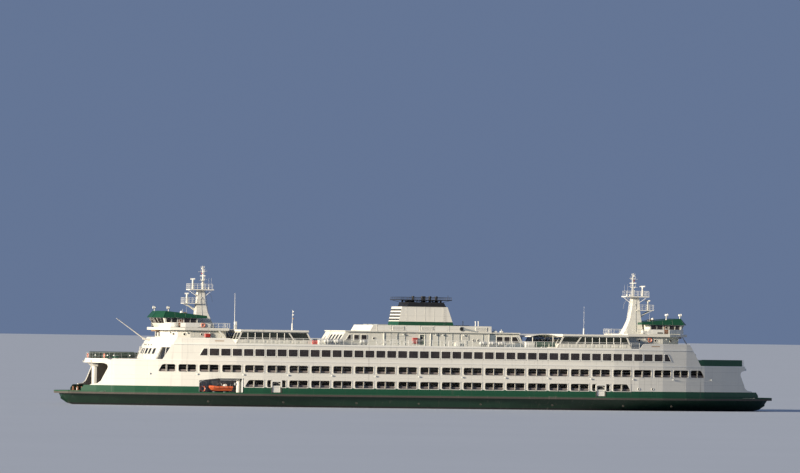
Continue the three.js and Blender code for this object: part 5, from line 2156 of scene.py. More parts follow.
    def poles(self) -> None:
        """Puts up the light masts and whips."""
        pole = -24.75
        shape = Shape().rod((pole, 0, SHELTER_ROOF), (pole, 0, 15.4), 0.16, TRIM, 10, 0.14)
        shape.rod((pole, 0, 15.4), (pole, 0, 17.9), 0.05, TRIM, 6, 0.03)
        lamp = [(0, 0.05), (0, 0.13), (0.2, 0.13), (0.24, 0.05)]
        for z, finish in ((16.2, TAN), (16.9, TRIM), (17.5, TRIM)):
            shape.lathe(lamp, (pole + 0.18, 0, z), UP, finish, 10)
            shape.rod((pole, 0, z + 0.02), (pole + 0.25, 0, z + 0.02), 0.02, STEEL, 4)
        shape.rod((32.4, 0, SHELTER_ROOF), (32.4, 0, 15.25), 0.15, TRIM, 10, 0.13)
        shape.rod((32.4, 0, 15.2), (32.4, 0, 19.4), 0.025, STEEL, 5, 0.012)
        for z in (16.9, 18.2):
            shape.ball((32.4, 0, z), 0.07, TRIM)
        shape.rod((-37.4, -5.5, SHELTER_ROOF), (-37.4, -5.5, 20.8), 0.07, TRIM, 6, 0.03)
        shape.box((-37.6, -6.2, SHELTER_ROOF), (-37.1, -5.7, 15.6), TRIM, 0.05)
        for z in (14.6, 15.3):
            shape.ring((-37.4, -5.5, z), UP, 0.1, 0.03, STEEL, 12, 4)
        shape.finish("light_poles")

    def build(self) -> None:
        """Dresses the sun deck."""
        self.rails()
        self.fittings()
        self.poles()


# The deckhouse and the funnel


@dataclass
class Deckhouse:
    """The central deckhouse with the fan tier on its roof.

    Attributes:
        side: half its breadth.
        middle: the height of its windows' middle.
        windows: its side windows, as (start, end).
        slant: how far its ends lean in, over their height.
        cab: where the grey-blue part at end b starts.
        top: how high the seams and panels of its walls reach.
        high: how high its ends are.
        eyes: its portholes, as (x, z).
        seams: where the wall's plates meet.
        panels: where the middles of the fan tier's panels are.
        hatches: where the flat hatches lie on the roof.
        caps: where the small boxes stand on the roof.
    """

    side: float = 6.5
    middle: float = 12.95
    windows: tuple[Pair, ...] = (
        (-14.67, -13.74),
        (-13.28, -12.25),
        (13.08, 14.23),
        (14.56, 15.63),
    )
    slant: Pair = (1.6, 1.2)
    cab: float = 11.6
    top: float = 14.0
    high: float = 2.47
    eyes: tuple[Pair, ...] = ((-10.84, 12.85), (8.55, 12.7), (9.45, 12.7))
    seams: tuple[float, ...] = (-7.6, -6.2, -4.8, 1.6, 3.0, 4.4, 5.8, 7.2, 10.4)
    panels: tuple[float, ...] = (-8.9, -6.1, -3.3, -0.5, 2.3, 10.1)
    hatches: tuple[Pair, ...] = ((-8.6, -3.4), (-8.6, 0.0), (-8.6, 3.4), (8.3, -0.2), (8.3, 3.9))
    caps: tuple[Pair, ...] = ((13.3, -4.0), (14.4, 2.4), (15.6, -1.6), (13.0, -5.8), (14.2, -5.8))

    def on_side(self, x: float, z: float = 0.0) -> Matrix:
        """The matrix that puts a flat drawing on the starboard wall."""
        return on_wall((x, -self.side, z))

    def side_wall(self) -> Shape:
        """The fittings of the starboard wall.

        Returns:
            The fittings.
        """
        shape = Shape()
        for start, end in self.windows:
            shape.stamp(window(end - start, 1.0, frame=0.09), self.on_side((start + end) / 2, self.middle))
        pane = [(-16.25, 12.45), (-15.3, 12.45), (-15.3, 13.45), (-15.65, 13.45)]
        edge = [(-16.45, 12.36), (-15.2, 12.36), (-15.2, 13.55), (-15.7, 13.55)]
        shape.stamp(cut_window(pane, edge), self.on_side(0))
        pane = [(16.1, 12.45), (17.5, 12.45), (16.95, 13.45), (16.1, 13.45)]
        edge = [(16.0, 12.36), (17.7, 12.36), (17.02, 13.55), (16.0, 13.55)]
        shape.stamp(cut_window(pane, edge), self.on_side(0))
        shape.stamp(porthole(0.2), *(self.on_side(x, z) for x, z in self.eyes))
        shape.row((-8.9, 0.15), 0.08, (-self.side - 0.12, -self.side), (SUN_DECK, self.top), TRIM, 0.02)
        shape.row(self.seams, 0.03, (-self.side - 0.06, -self.side), (SUN_DECK + 0.1, self.top), SHADE_GREY)
        for z in (12.35, 13.3):
            shape.box((-8.8, -self.side - 0.03, z), (-3.6, -self.side, z + 0.04), SHADE_GREY)
        shape.box((-3.39, -self.side - 0.28, 11.95), (-2.42, -self.side, 13.05), RED, 0.05)
        shape.box((-3.3, -self.side - 0.3, 12.1), (-2.5, -self.side - 0.27, 12.9), RED, 0.02)
        shape.box((4.9, -self.side - 0.3, 11.6), (5.9, -self.side, 12.3), TRIM, 0.04)
        shape.stamp(flood_lamp(), *(self.on_side(x, 13.7) for x in (-5.2, 1.1, 2.5, 6.6)))
        shape.pipe([(0.6, -6.58, 13.75), (2.9, -6.58, 13.75), (2.9, -6.58, 13.4)], 0.035, STEEL, 6)
        shape.stamp(louvre(1.1, 0.9, 8), self.on_side(-7.0, 13.2), self.on_side(6.9, 13.2))
        return shape

    def cab_panels(self) -> Shape:
        """The grey-blue panels of the part at end b, on the starboard side.

        Returns:
            The panels.
        """
        shape = Shape()
        y = -self.side - 0.015
        foot = SUN_DECK + 0.02
        for sheet in (
            ((self.cab, foot), (18.55, foot), (18.05, 12.3), (self.cab, 12.3)),
            ((self.cab, 12.3), (12.9, 12.3), (12.9, 13.6), (12.5, self.top), (self.cab, self.top)),
        ):
            shape.plate([(x, y, z) for x, z in sheet], (0, 0.01, 0), BLUE_GREY)
        shape.box((self.cab - 0.06, y - 0.05, SUN_DECK), (self.cab + 0.06, y + 0.02, 14.02), TRIM, 0.015)
        return shape

    def ends(self) -> None:
        """Puts the slit windows, the panels and the doors on the slanted ends."""
        shape = Shape()
        lean = self.slant[0] / self.high
        slit = slit_window(1.15, 1.2)
        for y in (-5.2, -3.1, -1.0, 1.1):
            x = -17.9 + lean * (12.95 - SUN_DECK)
            shape.stamp(slit, on_wall((x, y, 12.95), (0, -1, 0), (lean, 0, 1)))
        x = -17.9 + lean * 0.1
        shape.stamp(doorleaf(0.9, 1.95, TRIM), on_wall((x, 4.3, SUN_DECK + 0.1), (0, -1, 0), (lean, 0, 1)))
        # The blue-grey panel at the foot of this slanted end is painted shade.
        foot = [(-3.4, 0.03, 0), (6.3, 0.03, 0), (6.3, 0.84, 0), (-2.6, 0.84, 0), (-3.4, 0.72, 0)]
        panel = Shape().plate(foot, (0, 0, 0.02), BLUE_GREY)
        shape.stamp(panel, on_wall((-17.9, 0, SUN_DECK), (0, -1, 0), (lean, 0, 1)))
        lean = self.slant[1] / self.high
        for y in (-4.9, -2.45, 2.45, 4.9):
            x = 18.6 - lean * (12.95 - SUN_DECK)
            shape.stamp(window(1.6, 1.0, frame=0.09), on_wall((x, y, 12.95), TO_PORT, (-lean, 0, 1)))
        x = 18.6 - lean * 0.1
        shape.stamp(doorleaf(0.95, 1.95, TRIM), on_wall((x, 0, SUN_DECK + 0.1), TO_PORT, (-lean, 0, 1)))
        shape.finish("deckhouse_ends")

    def tier(self) -> None:
        """Dresses the fan tier and the roof."""
        shape = Shape()
        side = 6.3
        for number, x in enumerate(self.panels):
            panel = Shape().plate(square(x - 1.2, 14.42, x + 1.2, 15.2), (0, 0, 0.025), TRIM, 0.06, 0.01)
            shape.stamp(panel, on_wall((0, -side, 0)))
            if number % 2:
                shape.stamp(louvre(2.0, 0.56, 6), on_wall((x, -side - 0.01, 14.8)))
        shape.row((9.6, 11.2), 0.05, (-side - 0.06, -side), (14.6, 15.1), BLACK, 0.02)
        shape.row((-10.2, -7.5, -4.7, -1.9, 0.9, 3.7), 0.03, (-side - 0.05, -side), (14.27, 15.35), TRIM)
        shape.box((-11.5, -side - 0.04, 14.25), (12.1, -side + 0.01, 14.32), TRIM, 0.01)
        scoop = [(0.0, 0.3), (0.04, 0.42), (0.1, 0.42), (0.12, 0.36), (0.12, 0.0)]
        shape.lathe(scoop, (6.2, -side - 0.02, 14.83), (0, -1, 0), SHADE_GREY, 16)
        # A black disc inside the scoop's mouth: painted shade in the hollow.
        dark = [(0, 0), (0, 0.34), (0.02, 0.34), (0.02, 0)]
        shape.lathe(dark, (6.2, -side - 0.15, 14.83), (0, -1, 0), BLACK, 16)
        duct = [(6.6, 14.62), (9.2, 14.26), (9.2, 14.42), (6.6, 15.05)]
        shape.plate([(x, -side - 0.02, z) for x, z in duct], (0, -0.12, 0), SHADE_GREY, 0.03)
        shape.finish("fan_tier_side")
        shape = Shape()
        for x, y in ((9.5, -4.6), (10.05, -4.6), (9.5, 3.2)):
            shape.rod((x, y, 15.36), (x, y, 16.2), 0.09, TRIM, 10)
            shape.lathe([(0, 0.09), (0.02, 0.15), (0.1, 0.15), (0.14, 0)], (x, y, 16.18), UP, TRIM, 12)
        for x, y in self.hatches:
            shape.block((x, y), (1.1, 1.2), (15.37, 15.43), SHADE_GREY, 0.02)
            shape.stamp(louvre(1.9, 2.1, 12, SHADE_GREY), Matrix.Translation((x, y, 15.43)))
        for x, y in self.caps:
            shape.block((x, y), (0.3, 0.25), (14.25, 14.55), TRIM, 0.05)
            shape.rod((x, y, 14.5), (x, y, 14.85), 0.06, TRIM, 8)
        shape.finish("deckhouse_roof_gear")

    def build(self) -> None:
        """Dresses the deckhouse."""
        wall = self.side_wall().add(self.cab_panels())
        port = Shape().stamp(wall, ACROSS)
        port.stamp(doorleaf(0.86, 1.9, GREEN), on_wall((-1.47, self.side, SUN_DECK + 0.12), (-1, 0, 0)))
        wall.add(port)
        door = doorleaf(0.85, 1.85, DARK_GREEN_DOOR)
        wall.stamp(door, on_wall((-1.475, -6.34, SUN_DECK + 0.17)))
        outer, inner = square(-2.06, 11.6, -0.89, 13.72), square(-1.92, 11.73, -1.03, 13.6)
        wall.stamp(Shape().rim(outer, inner, (0, 0, 0.06), TRIM), self.on_side(0))
        wall.finish("deckhouse_walls")
        self.ends()
        self.tier()


@dataclass
class Funnel:
    """The funnel's slots and the platform with the exhaust pipes.

    Attributes:
        foot: where its ends stand at the foot.
        head: where they stand at the shoulder.
        low: its foot's height.
        high: its shoulder's height.
        side: half its breadth.
        pipes: where the exhaust pipes stand along the ship.
        deck: the platform's ends, half breadth and height.
        lattice: the foot and head of the lattice below it.
        steps: how high the nine steps on its sides start, and how far apart they are.
    """

    foot: Pair = (-5.2, 5.65)
    head: Pair = (-4.5, 4.4)
    low: float = 15.374
    high: float = 18.85
    side: float = 3.3
    pipes: tuple[float, ...] = (-1.67, -1.06, 0.16, 1.12, 1.64, 2.26, 2.87)
    deck: tuple[float, float, float, float] = (-4.8, 5.2, 3.4, 20.2)
    lattice: Pair = (19.75, 20.05)
    steps: Pair = (15.6, 0.37)

    def end_wall(self, end: int, z: float) -> Matrix:
        """The matrix that puts a flat drawing on an end wall, around a height.

        Args:
            end: 0 for the end towards -x, 1 for the other.
            z: the height.

        Returns:
            The matrix.
        """
        lean = (self.head[end] - self.foot[end]) / (self.high - self.low)
        x = self.foot[end] + lean * (z - self.low)
        return on_wall((x, 0, z), (0, 1 if end else -1, 0), (lean, 0, 1))

    def slots(self) -> None:
        """Puts the dark louvre slots across both ends, and the seams and steps on the sides."""
        shape = Shape()
        # Each slot is a black plate behind grey bars: painted shade inside the slot.
        slot = Shape().plate(square(-3.25, -0.17, 3.25, 0.17), (0, 0, 0.02), BLACK)
        slot.box((-3.25, 0.15, 0), (3.25, 0.2, 0.09), TRIM, 0.01)
        for number in range(13):
            y = -3.0 + number * 0.5
            slot.box((y - 0.015, -0.15, 0.01), (y + 0.015, 0.15, 0.04), SHADE_GREY)
        for end in (0, 1):
            shape.stamp(slot, *(self.end_wall(end, z) for z in (16.45, 17.05, 17.65, 18.25)))
        for side in (-1, 1):
            y = side * (self.side + 0.01)
            for x in (-3.6, -1.8, 0.0, 1.8, 3.6):
                shape.block((x, y), (0.02, 0.015), (16.15, 18.82), TRIM)
            for z in (16.1, 18.8):
                rise = (z - self.low) / (self.high - self.low)
                foot, head = (a + (b - a) * rise for a, b in zip(self.foot, self.head))
                shape.box((foot, y - 0.03, z - 0.03), (head, y + 0.03, z + 0.03), TRIM, 0.01)
            for step in range(9):
                z = self.steps[0] + step * self.steps[1]
                rung = [(3.6, y, z), (3.6, y + side * 0.12, z), (3.95, y + side * 0.12, z), (3.95, y, z)]
                shape.pipe(rung, 0.016, STEEL, 4)
        shape.finish("funnel_fittings")

    def platform(self) -> None:
        """Puts the rails, the lattice and the pipe heads on the platform."""
        shape = Shape()
        left, right, side, z = self.deck
        edge = [(left, -side), (right, -side), (right, side), (left, side), (left, -side)]
        edge = [(x * 0.985, y * 0.985, z) for x, y in edge]
        shape.add(fence(edge, 0.42, 1.3, 2, BLACK, 0.03))
        low, high = self.lattice
        for number, x in enumerate(self.pipes):
            y = 1.0 if number % 2 else -1.0
            collar = [(-0.28, 0.26), (-0.28, 0.32), (-0.2, 0.32), (-0.18, 0.27)]
            mouth = [(-0.02, 0.27), (0.0, 0.25), (0.0, 0.2), (-0.3, 0.18), (-0.3, 0)]
            shape.lathe([*collar, *mouth], (x, y, 20.855), UP, BLACK, 14)
            shape.ring((x, y, 19.95), UP, 0.27, 0.03, STEEL, 14, 4)
        for y in (-2.4, 2.4):
            for number in range(5):
                x = -2.7 + number * 1.2
                shape.rod((x, y, low), (x + 1.2, y, high), 0.03, BLACK, 5)
                shape.rod((x, y, high), (x + 1.2, y, low), 0.03, BLACK, 5)
            for x in (-4.4, -2.7, 0.3, 3.3, 4.8):
                head = max(-3.0, min(3.6, x))
                shape.rod((x, y * 1.35, 20.06), (head, y * 1.2, 19.68), 0.035, BLACK, 5)
        shape.row((-2.6, -1.9, 3.2), 0.25, (-0.4, 0.4), (19.7, 20.02), BLACK, 0.03)
        shape.rod((4.6, -2.8, 20.2), (4.6, -2.8, 20.95), 0.03, BLACK, 5)
        shape.ball((4.6, -2.8, 20.95), 0.07, BLACK)
        shape.finish("funnel_platform_gear")

    def build(self) -> None:
        """Dresses the funnel."""
        self.slots()
        self.platform()


# The glazed shelters


@dataclass
class Shelters:
    """The glazed shelters on the sun deck, built in place of the plain ones, and the shade canopy.

    Attributes:
        foot: where the ends of end b's shelter stand at the foot.
        head: where they stand at the head.
        side: half its breadth.
        sill: the foot and head of its glass.
        bars: where the bars between its side panes are, from the slanted one's head.
        end_bars: where the bars between its end panes start, across the ship.
        seats: where the seats' backs along its sides are.
        slanted: where the slanted bar's foot and head are.
        roof: the roof's foot and head.
    """

    foot: Pair = (23.65, 38.4)
    head: Pair = (24.8, 37.5)
    side: float = 10.5
    sill: Pair = (12.35, 13.62)
    bars: tuple[float, ...] = (29.2, 30.6, 32.0, 33.4, 34.8, 36.2)
    end_bars: tuple[float, ...] = (-10.45, -8.5, -6.6, -4.7, -2.8, -0.75, 0.6, 2.65, 4.55, 6.45, 8.35, 10.3)
    seats: tuple[float, ...] = (25.5, 27.1, 28.7, 30.3, 31.9, 33.5, 35.1, 36.7)
    slanted: Pair = (27.3, 28.2)
    roof: Pair = (13.75, SHELTER_ROOF)

    def end_at(self, end: int, z: float) -> float:
        """Where an end is at a height."""
        share = (z - SUN_DECK) / (self.roof[0] - SUN_DECK)
        return self.foot[end] + (self.head[end] - self.foot[end]) * share

    def side_frame(self) -> Shape:
        """The starboard side: its foot, bars and glass.

        Returns:
            The side.
        """
        shape = Shape()
        low, high = self.sill
        y = -self.side
        feet = [self.end_at(end, low) for end in (0, 1)]
        heads = [self.end_at(end, high) for end in (0, 1)]
        bar = 0.28
        for below, foot, above, head in (
            (self.foot, SUN_DECK + 0.01, feet, low),
            (heads, high, self.head, self.roof[0]),
            ((feet[0], feet[0] + bar), low, (heads[0], heads[0] + bar), high),
            ((feet[1], feet[1] - bar), low, (heads[1], heads[1] - bar), high),
            ((self.slanted[0], self.slanted[0] + bar), low, (self.slanted[1], self.slanted[1] + bar), high),
        ):
            (a, b), (c, d) = below, above
            shape.plate([(a, y, foot), (b, y, foot), (d, y, head), (c, y, head)], (0, 0.15, 0), WHITE)
        shape.row(self.bars, 0.06, (y, y + 0.15), (low, high), TRIM, 0.02)
        glass = [(feet[0], low), (feet[1], low), (heads[1], high), (heads[0], high)]
        shape.plate([(x, y + 0.07, z) for x, z in glass], (0, 0.03, 0), CLEAR_GLASS)
        shape.box((feet[0], y - 0.05, low - 0.07), (feet[1], y + 0.2, low), TRIM, 0.02)
        for x in self.seats:
            shape.box((x - 0.62, y + 0.16, 11.95), (x + 0.62, y + 0.3, 12.3), TRIM, 0.04)
            shape.box((x - 0.6, y - 0.04, 11.75), (x + 0.6, y, 12.2), WHITE, 0.02)
        return shape

    def strip(self, end: int, across: Pair, up: Pair) -> list[Point]:
        """The corners of a strip of an end wall, across the ship and up.

        Args:
            end: 0 for the end towards midships, 1 for the other.
            across: where the strip starts and ends across the ship.
            up: the heights of its foot and head.

        Returns:
            The corners.
        """
        (left, right), (foot, head) = across, up
        x0, x1 = self.end_at(end, foot), self.end_at(end, head)
        return [(x0, left, foot), (x0, right, foot), (x1, right, head), (x1, left, head)]

    def end_wall(self, end: int) -> Shape:
        """One end wall, with its panes and door.

        Args:
            end: 0 for the end towards midships, 1 for the other.

        Returns:
            The wall.
        """
        shape = Shape()
        side = 1 if end else -1
        low, high = self.sill
        edge, eave = self.side, self.roof[0]
        lean = (self.head[end] - self.foot[end]) / (eave - SUN_DECK)
        inward = Vector((-side * 0.14, 0, 0))
        for across in ((-edge, -0.6), (0.6, edge)):
            shape.plate(self.strip(end, across, (SUN_DECK + 0.01, low)), inward, WHITE)
        shape.plate(self.strip(end, (-edge, edge), (high, eave)), inward, WHITE)
        for y in self.end_bars:
            shape.plate(self.strip(end, (y, y + 0.15), (low, high)), inward, TRIM)
        for across in ((-10.4, -0.6), (0.6, 10.4)):
            glass = [Vector(c) + inward * 0.4 for c in self.strip(end, across, (low, high))]
            shape.plate(glass, inward * 0.25, CLEAR_GLASS)
        place = on_wall((self.end_at(end, SUN_DECK + 0.05), 0, SUN_DECK + 0.05), (0, side, 0), (lean, 0, 1))
        return shape.stamp(doorleaf(1.1, 1.95, TRIM), place @ Matrix.Translation((0, 0, -0.1)))

    def roof_panel(self) -> Shape:
        """The roof, with its rounded edges, seams and soffit lamps.

        Returns:
            The roof.
        """
        shape = Shape()
        low, high = self.roof
        outline = [(24.6, -10.8, low), (37.7, -10.8, low), (37.7, 10.8, low), (24.6, 10.8, low)]
        shape.plate(outline, (0, 0, high - low), ROOF_PAINT, bevel=0.06)
        for x in (26.5, 28.7, 30.9, 33.1, 35.3):
            shape.box((x - 0.04, -10.7, high - 0.02), (x + 0.04, 10.7, high + 0.005), TRIM)
            for y in (-8, -4, 0, 4, 8):
                shape.lathe([(0, 0), (0, 0.14), (-0.05, 0.12), (-0.06, 0)], (x, y, low), UP, LAMP, 12)
        return shape

    def build(self) -> None:
        """Builds both shelters and dresses the canopy."""
        shape = self.side_frame().twice(ACROSS)
        shape.add(self.end_wall(0), self.end_wall(1), self.roof_panel())
        for y in (-4.9, 0, 4.9):
            for x in (27.5, 31, 34.5):
                shape.rod((x, y, SUN_DECK + 0.01), (x, y, self.roof[0]), 0.07, TRIM, 8)
        for end in End:
            name = f"shelter_{end}"
            shape.at(end).finish(f"{name}_dressed", SHIP, (name,))
        canopy = Shape()
        for y in range(-9, 10, 3):
            line = [(18.8 + n * 0.65, y, 13.56 + 0.4 * 4 * (n / 8) * (1 - n / 8)) for n in range(9)]
            canopy.pipe(line, 0.05, TRIM, 6)
        for x, z in ((18.75, 13.6), (24.0, 13.6)):
            canopy.rod((x, -9.75, z), (x, 9.75, z), 0.05, TRIM, 6)
        canopy.finish("canopy_frame")


# The bridges


@dataclass
class Bridge:
    """A bridge: its house, deck and pilothouse. Drawn at end b and turned for end a.

    Attributes:
        house: half the bridge house's plan, as (x, half breadth).
        deck: half the bridge deck's plan.
        soffit: how high the bridge deck's underside is.
        canvas: the foot and head of the canvas along its rails.
        foot: half the pilothouse's plan at the deck.
        head: half its plan at the eave.
        levels: the heights of its foot and head.
        sill: the foot and head of its windows.
        lights: its side windows, as (start, end).
        fronts: its front windows, as (edge, middle, half width).
        portholes: the house's portholes on the starboard and the port side.
        eave: half the roof's plan at its eave.
        crest: half its plan at its crest.
        roof: the heights of its eave and crest.
        fall: a place along the roof's top, its height there and its slope.
    """

    house: tuple[Pair, ...] = ((39.2, 6.3), (46, 6.3), (48.3, 5.6), (49.8, 4.2), (50.5, 2.2))
    deck: tuple[Pair, ...] = ((38.8, 6.9), (47.2, 6.9), (49.8, 6), (51.5, 4.3), (51.9, 1.6))
    soffit: float = 13.86
    canvas: Pair = (14.44, 15.2)
    foot: tuple[Pair, ...] = ((44.1, 4.2), (50.15, 4.2), (50.9, 1.4), (50.9, -1.4))
    head: tuple[Pair, ...] = ((44.1, 4.2), (50.5, 4.2), (51.9, 1.5), (51.9, -1.5))
    levels: Pair = (BRIDGE_DECK, 16.14)
    sill: Pair = (15.2, 16.0)
    lights: tuple[Pair, ...] = ((44.4, 45.4), (45.6, 46.6), (48.05, 48.95), (49.2, 50.0))
    fronts: tuple[tuple[int, float, float], ...] = (
        (2, 0.95, 0.37),
        (1, 1.85, 0.31),
        (1, 2.7, 0.31),
        (1, 3.5, 0.31),
    )
    portholes: tuple[tuple[float, ...], ...] = ((41.3, 44.5, 47.7), (43.85, 47.05, 48.9))
    eave: tuple[Pair, ...] = ((42.4, 4.7), (50.75, 4.7), (52.2, 1.7))
    crest: tuple[Pair, ...] = ((42.6, 4.2), (50.2, 4.2), (51.2, 1.5))
    roof: Pair = (16.144, 17.35)
    fall: tuple[float, float, float] = (40.0, 16.28, 0.1049)

    def on_plan(self, plan: Sequence[Pair], x: float, z: float, side: int) -> Matrix:
        """The matrix that puts a flat drawing on a wall that stands on a plan.

        Args:
            plan: half the plan.
            x: where along the ship.
            z: how high.
            side: -1 for starboard, 1 for port.

        Returns:
            The matrix.
        """
        step = 0.01
        slope = (self.breadth_at(plan, x + step) - self.breadth_at(plan, x - step)) / (2 * step)
        return on_wall((x, side * self.breadth_at(plan, x), z), (-side, -slope, 0))

    def walls(self) -> Shape:
        """The fittings of the bridge house.

        Returns:
            The fittings.
        """
        shape = Shape()
        eye = porthole(0.2)
        for side, stations in zip((-1, 1), self.portholes):
            for x in stations:
                shape.stamp(eye, self.on_plan(self.house, x, 13.15, side))
            for x in (40.2, 43.0, 45.4):
                shape.block((x, side * 6.3), (0.02, 0.02), (SUN_DECK + 0.02, 13.85), TRIM)
            for x in (42.4, 46.6, 49.4):
                shape.stamp(flood_lamp(), self.on_plan(self.house, x, 13.45, side))
            y = side * 3.4
            shape.add(self.stair((36.9, y, SUN_DECK + 0.05), (38.9, y, BRIDGE_DECK)))
        shape.box((42.3, 6.3, 12.6), (43.3, 6.72, 13.3), RED, 0.05)
        shape.box((42.4, 6.7, 12.7), (43.2, 6.74, 13.2), RED, 0.02)
        places = (on_wall((39.2, y, SUN_DECK + 0.1), (0, -1, 0)) for y in (-2.2, 2.2))
        shape.stamp(doorleaf(0.9, 1.95, TRIM), *places)
        shape.stamp(window(1.0, 0.8), *(on_wall((50.51, y, 13.1), TO_PORT) for y in (-1.0, 1.0)))
        foot, head = SUN_DECK, self.soffit
        post = [(38.7, foot), (39.05, foot), (40.85, head), (40.5, head)]
        shape.plate([(x, 6.6, z) for x, z in post], (0, 0.22, 0), TRIM, bevel=0.02)
        shape.stamp(life_ring(0.36), self.on_plan(self.house, 43.4, 13.25, -1))
        return shape.box((50.52, -1.3, 13.6), (51.5, 1.3, self.soffit), TAN, 0.03)

    def stair(self, foot: Point, head: Point) -> Shape:
        """A stair with its treads, strings and handrails, from foot to head.

        Args:
            foot: the middle of its foot.
            head: the middle of its head.

        Returns:
            The stair.
        """
        a, b = Vector(foot), Vector(head)
        made = Shape()
        count = 11
        for number in range(1, count):
            place = a.lerp(b, number / count)
            made.box(place - Vector((0.13, 0.4, 0.02)), place + Vector((0.13, 0.4, 0.02)), STEEL)
        for y in (-0.42, 0.42):
            shift = Vector((0, y, 0))
            wide = Vector((0.25, 0, 0))
            made.plate([a + shift, a + shift + wide, b + shift, b + shift - wide], (0, 0.04, 0), TRIM)
            lift = shift + Vector((0, 0, 0.95))
            made.pipe([a + shift, a + lift, b + lift, b + shift], 0.025, TRIM, 5)
        return made

    def deck_edge(self) -> Shape:
        """The rails, canvas panels and life rings along the bridge deck's edge.

        Returns:
            The edge's pieces.
        """
        shape = Shape()
        inset = [(x - 0.12, y - 0.1) for x, y in self.deck]
        top = BRIDGE_DECK
        low, high = self.canvas
        for side in (-1, 1):
            path = [(39.0, 5.0), *inset[:3], (50.4, self.breadth_at(inset, 50.4)), (50.1, 4.3)]
            shape.add(fence([(x, side * y, top) for x, y in path], 0.86, 1.0, 3))
        for side, gap in ((-1, (46.0, 47.1)), (1, (48.0, 48.9))):
            near = [(42.3, low - 0.02), (43.6, low - 0.02), (43.6, high), (43.1, high)]
            shape.plate([(x, side * 6.77, z) for x, z in near], (0, side * 0.04, 0), TRIM)
            stops = sorted({43.6, 44.5, 45.4, *gap, 47.08, 49.0, 49.68, 50.5})
            for start, end in zip(stops, stops[1:]):
                if gap[0] <= start < gap[1] and end <= gap[1] + 0.01:
                    continue
                a, b = ((x, side * self.breadth_at(inset, x)) for x in (start + 0.02, end - 0.02))
                sheet = [(*a, low), (*b, low), (*b, high), (*a, high)]
                shape.plate(sheet, (0.01, side * 0.03, 0), TRIM, bevel=0.005)
        shape.stamp(life_ring(0.34), on_wall((43.8, 6.86, 14.82), (-1, 0, 0)))
        shape.box((44.7, -6.85, 14.5), (45.8, -6.8, 14.72), BLACK, 0.01)
        for x, y in ((42.5, 5.6), (42.5, -5.6)):
            shape.block((x, y), (0.5, 0.35), (top, top + 0.7), TRIM, 0.05)
        return shape

    def breadth_at(self, plan: Sequence[Pair], x: float) -> float:
        """Half the breadth of a plan at a place along the ship."""
        (x0, y0), (x1, y1) = next(pair for pair in zip(plan, plan[1:]) if x <= pair[1][0])
        return y0 + (y1 - y0) * (x - x0) / (x1 - x0)

    def wall_at(self, edge: int, share: float, z: float, inward: float = 0.0) -> Point:
        """A point on the pilothouse's starboard wall.

        Args:
            edge: which of the plan's edges.
            share: how far along it.
            z: how high.
            inward: how far it is moved to the inside.

        Returns:
            The point.
        """
        rise = (z - self.levels[0]) / (self.levels[1] - self.levels[0])
        ends = []
        for (x0, y0), (x1, y1) in zip(self.foot[edge : edge + 2], self.head[edge : edge + 2]):
            ends.append(Vector((x0 + (x1 - x0) * rise, -(y0 + (y1 - y0) * rise), z)))
        out = (ends[1] - ends[0]).cross(Vector(UP)).normalized()
        return ends[0].lerp(ends[1], share) - out * inward

    def pane(self, edge: int, start: float, end: float) -> Shape:
        """The glass, frame and wiper of one of the pilothouse's openings.

        Args:
            edge: which of the plan's edges it is in.
            start: where it starts, as a share of that edge.
            end: where it ends.

        Returns:
            The pane.
        """
        low, high = self.sill
        glass = [
            self.wall_at(edge, s, z, 0.06)
            for s, z in ((start, low - 0.03), (end, low - 0.03), (end, high + 0.03), (start, high + 0.03))
        ]
        inward = self.wall_at(edge, start, low, 0.1) - self.wall_at(edge, start, low, 0.06)
        made = Shape().plate(glass, inward, GLASS)
        wide = (self.wall_at(edge, end, low) - self.wall_at(edge, start, low)).length
        extra = 0.05 / wide * (end - start)
        corners = ((start, low), (end, low), (end, high), (start, high))
        inner = [self.wall_at(edge, s, z, -0.01) for s, z in corners]
        signs = ((-1, -1), (1, -1), (1, 1), (-1, 1))
        spread = [(s + extra * i, z + 0.05 * j) for (s, z), (i, j) in zip(corners, signs)]
        outer = [self.wall_at(edge, s, z, -0.01) for s, z in spread]
        made.rim(outer, inner, inward * 0.8, BLACK_RUBBER)
        if edge:
            middle = (start + end) / 2
            tip = self.wall_at(edge, start * 0.7 + end * 0.3, low + 0.2, -0.03)
            made.rod(self.wall_at(edge, middle, high, -0.05), tip, 0.015, BLACK, 4)
        return made

    def glazing(self) -> Shape:
        """All the glass of the pilothouse, with the wheelhouse gear behind it.

        Returns:
            The glass and the gear.
        """
        near = Shape()
        x0, x1 = (self.wall_at(0, s, 15.6).x for s in (0, 1))
        for start, end in self.lights:
            near.add(self.pane(0, (start - x0) / (x1 - x0), (end - x0) / (x1 - x0)))
        for edge, y, half in self.fronts:
            y0, y1 = (-self.wall_at(edge, s, 15.6).y for s in (0, 1))
            ends = sorted((y + step - y0) / (y1 - y0) for step in (-half, half))
            near.add(self.pane(edge, *ends))
        shape = near.twice(ACROSS)
        shape.add(self.pane(2, 0.375, 0.625))
        shape.box((49.0, -2.8, 14.4), (49.8, 2.8, 15.15), SHADE_GREY, 0.04)
        for y in (-2.0, -1.0, 0, 1.0, 2.0):
            shape.box((49.2, y - 0.3, 15.15), (49.5, y + 0.3, 15.35), BLACK, 0.03)
        shape.rod((48.4, 0, 14.4), (48.4, 0, 14.85), 0.08, STEEL, 8)
        shape.box((48.1, -0.3, 14.85), (48.7, 0.3, 14.98), BLACK_RUBBER, 0.04)
        return shape.box((48.05, -0.28, 14.95), (48.15, 0.28, 15.6), BLACK_RUBBER, 0.03)

    def roof_at(self, x: float) -> float:
        """How high the roof's top is, which falls towards the mast."""
        return min(self.roof[1], self.fall[1] + (x - self.fall[0]) * self.fall[2])

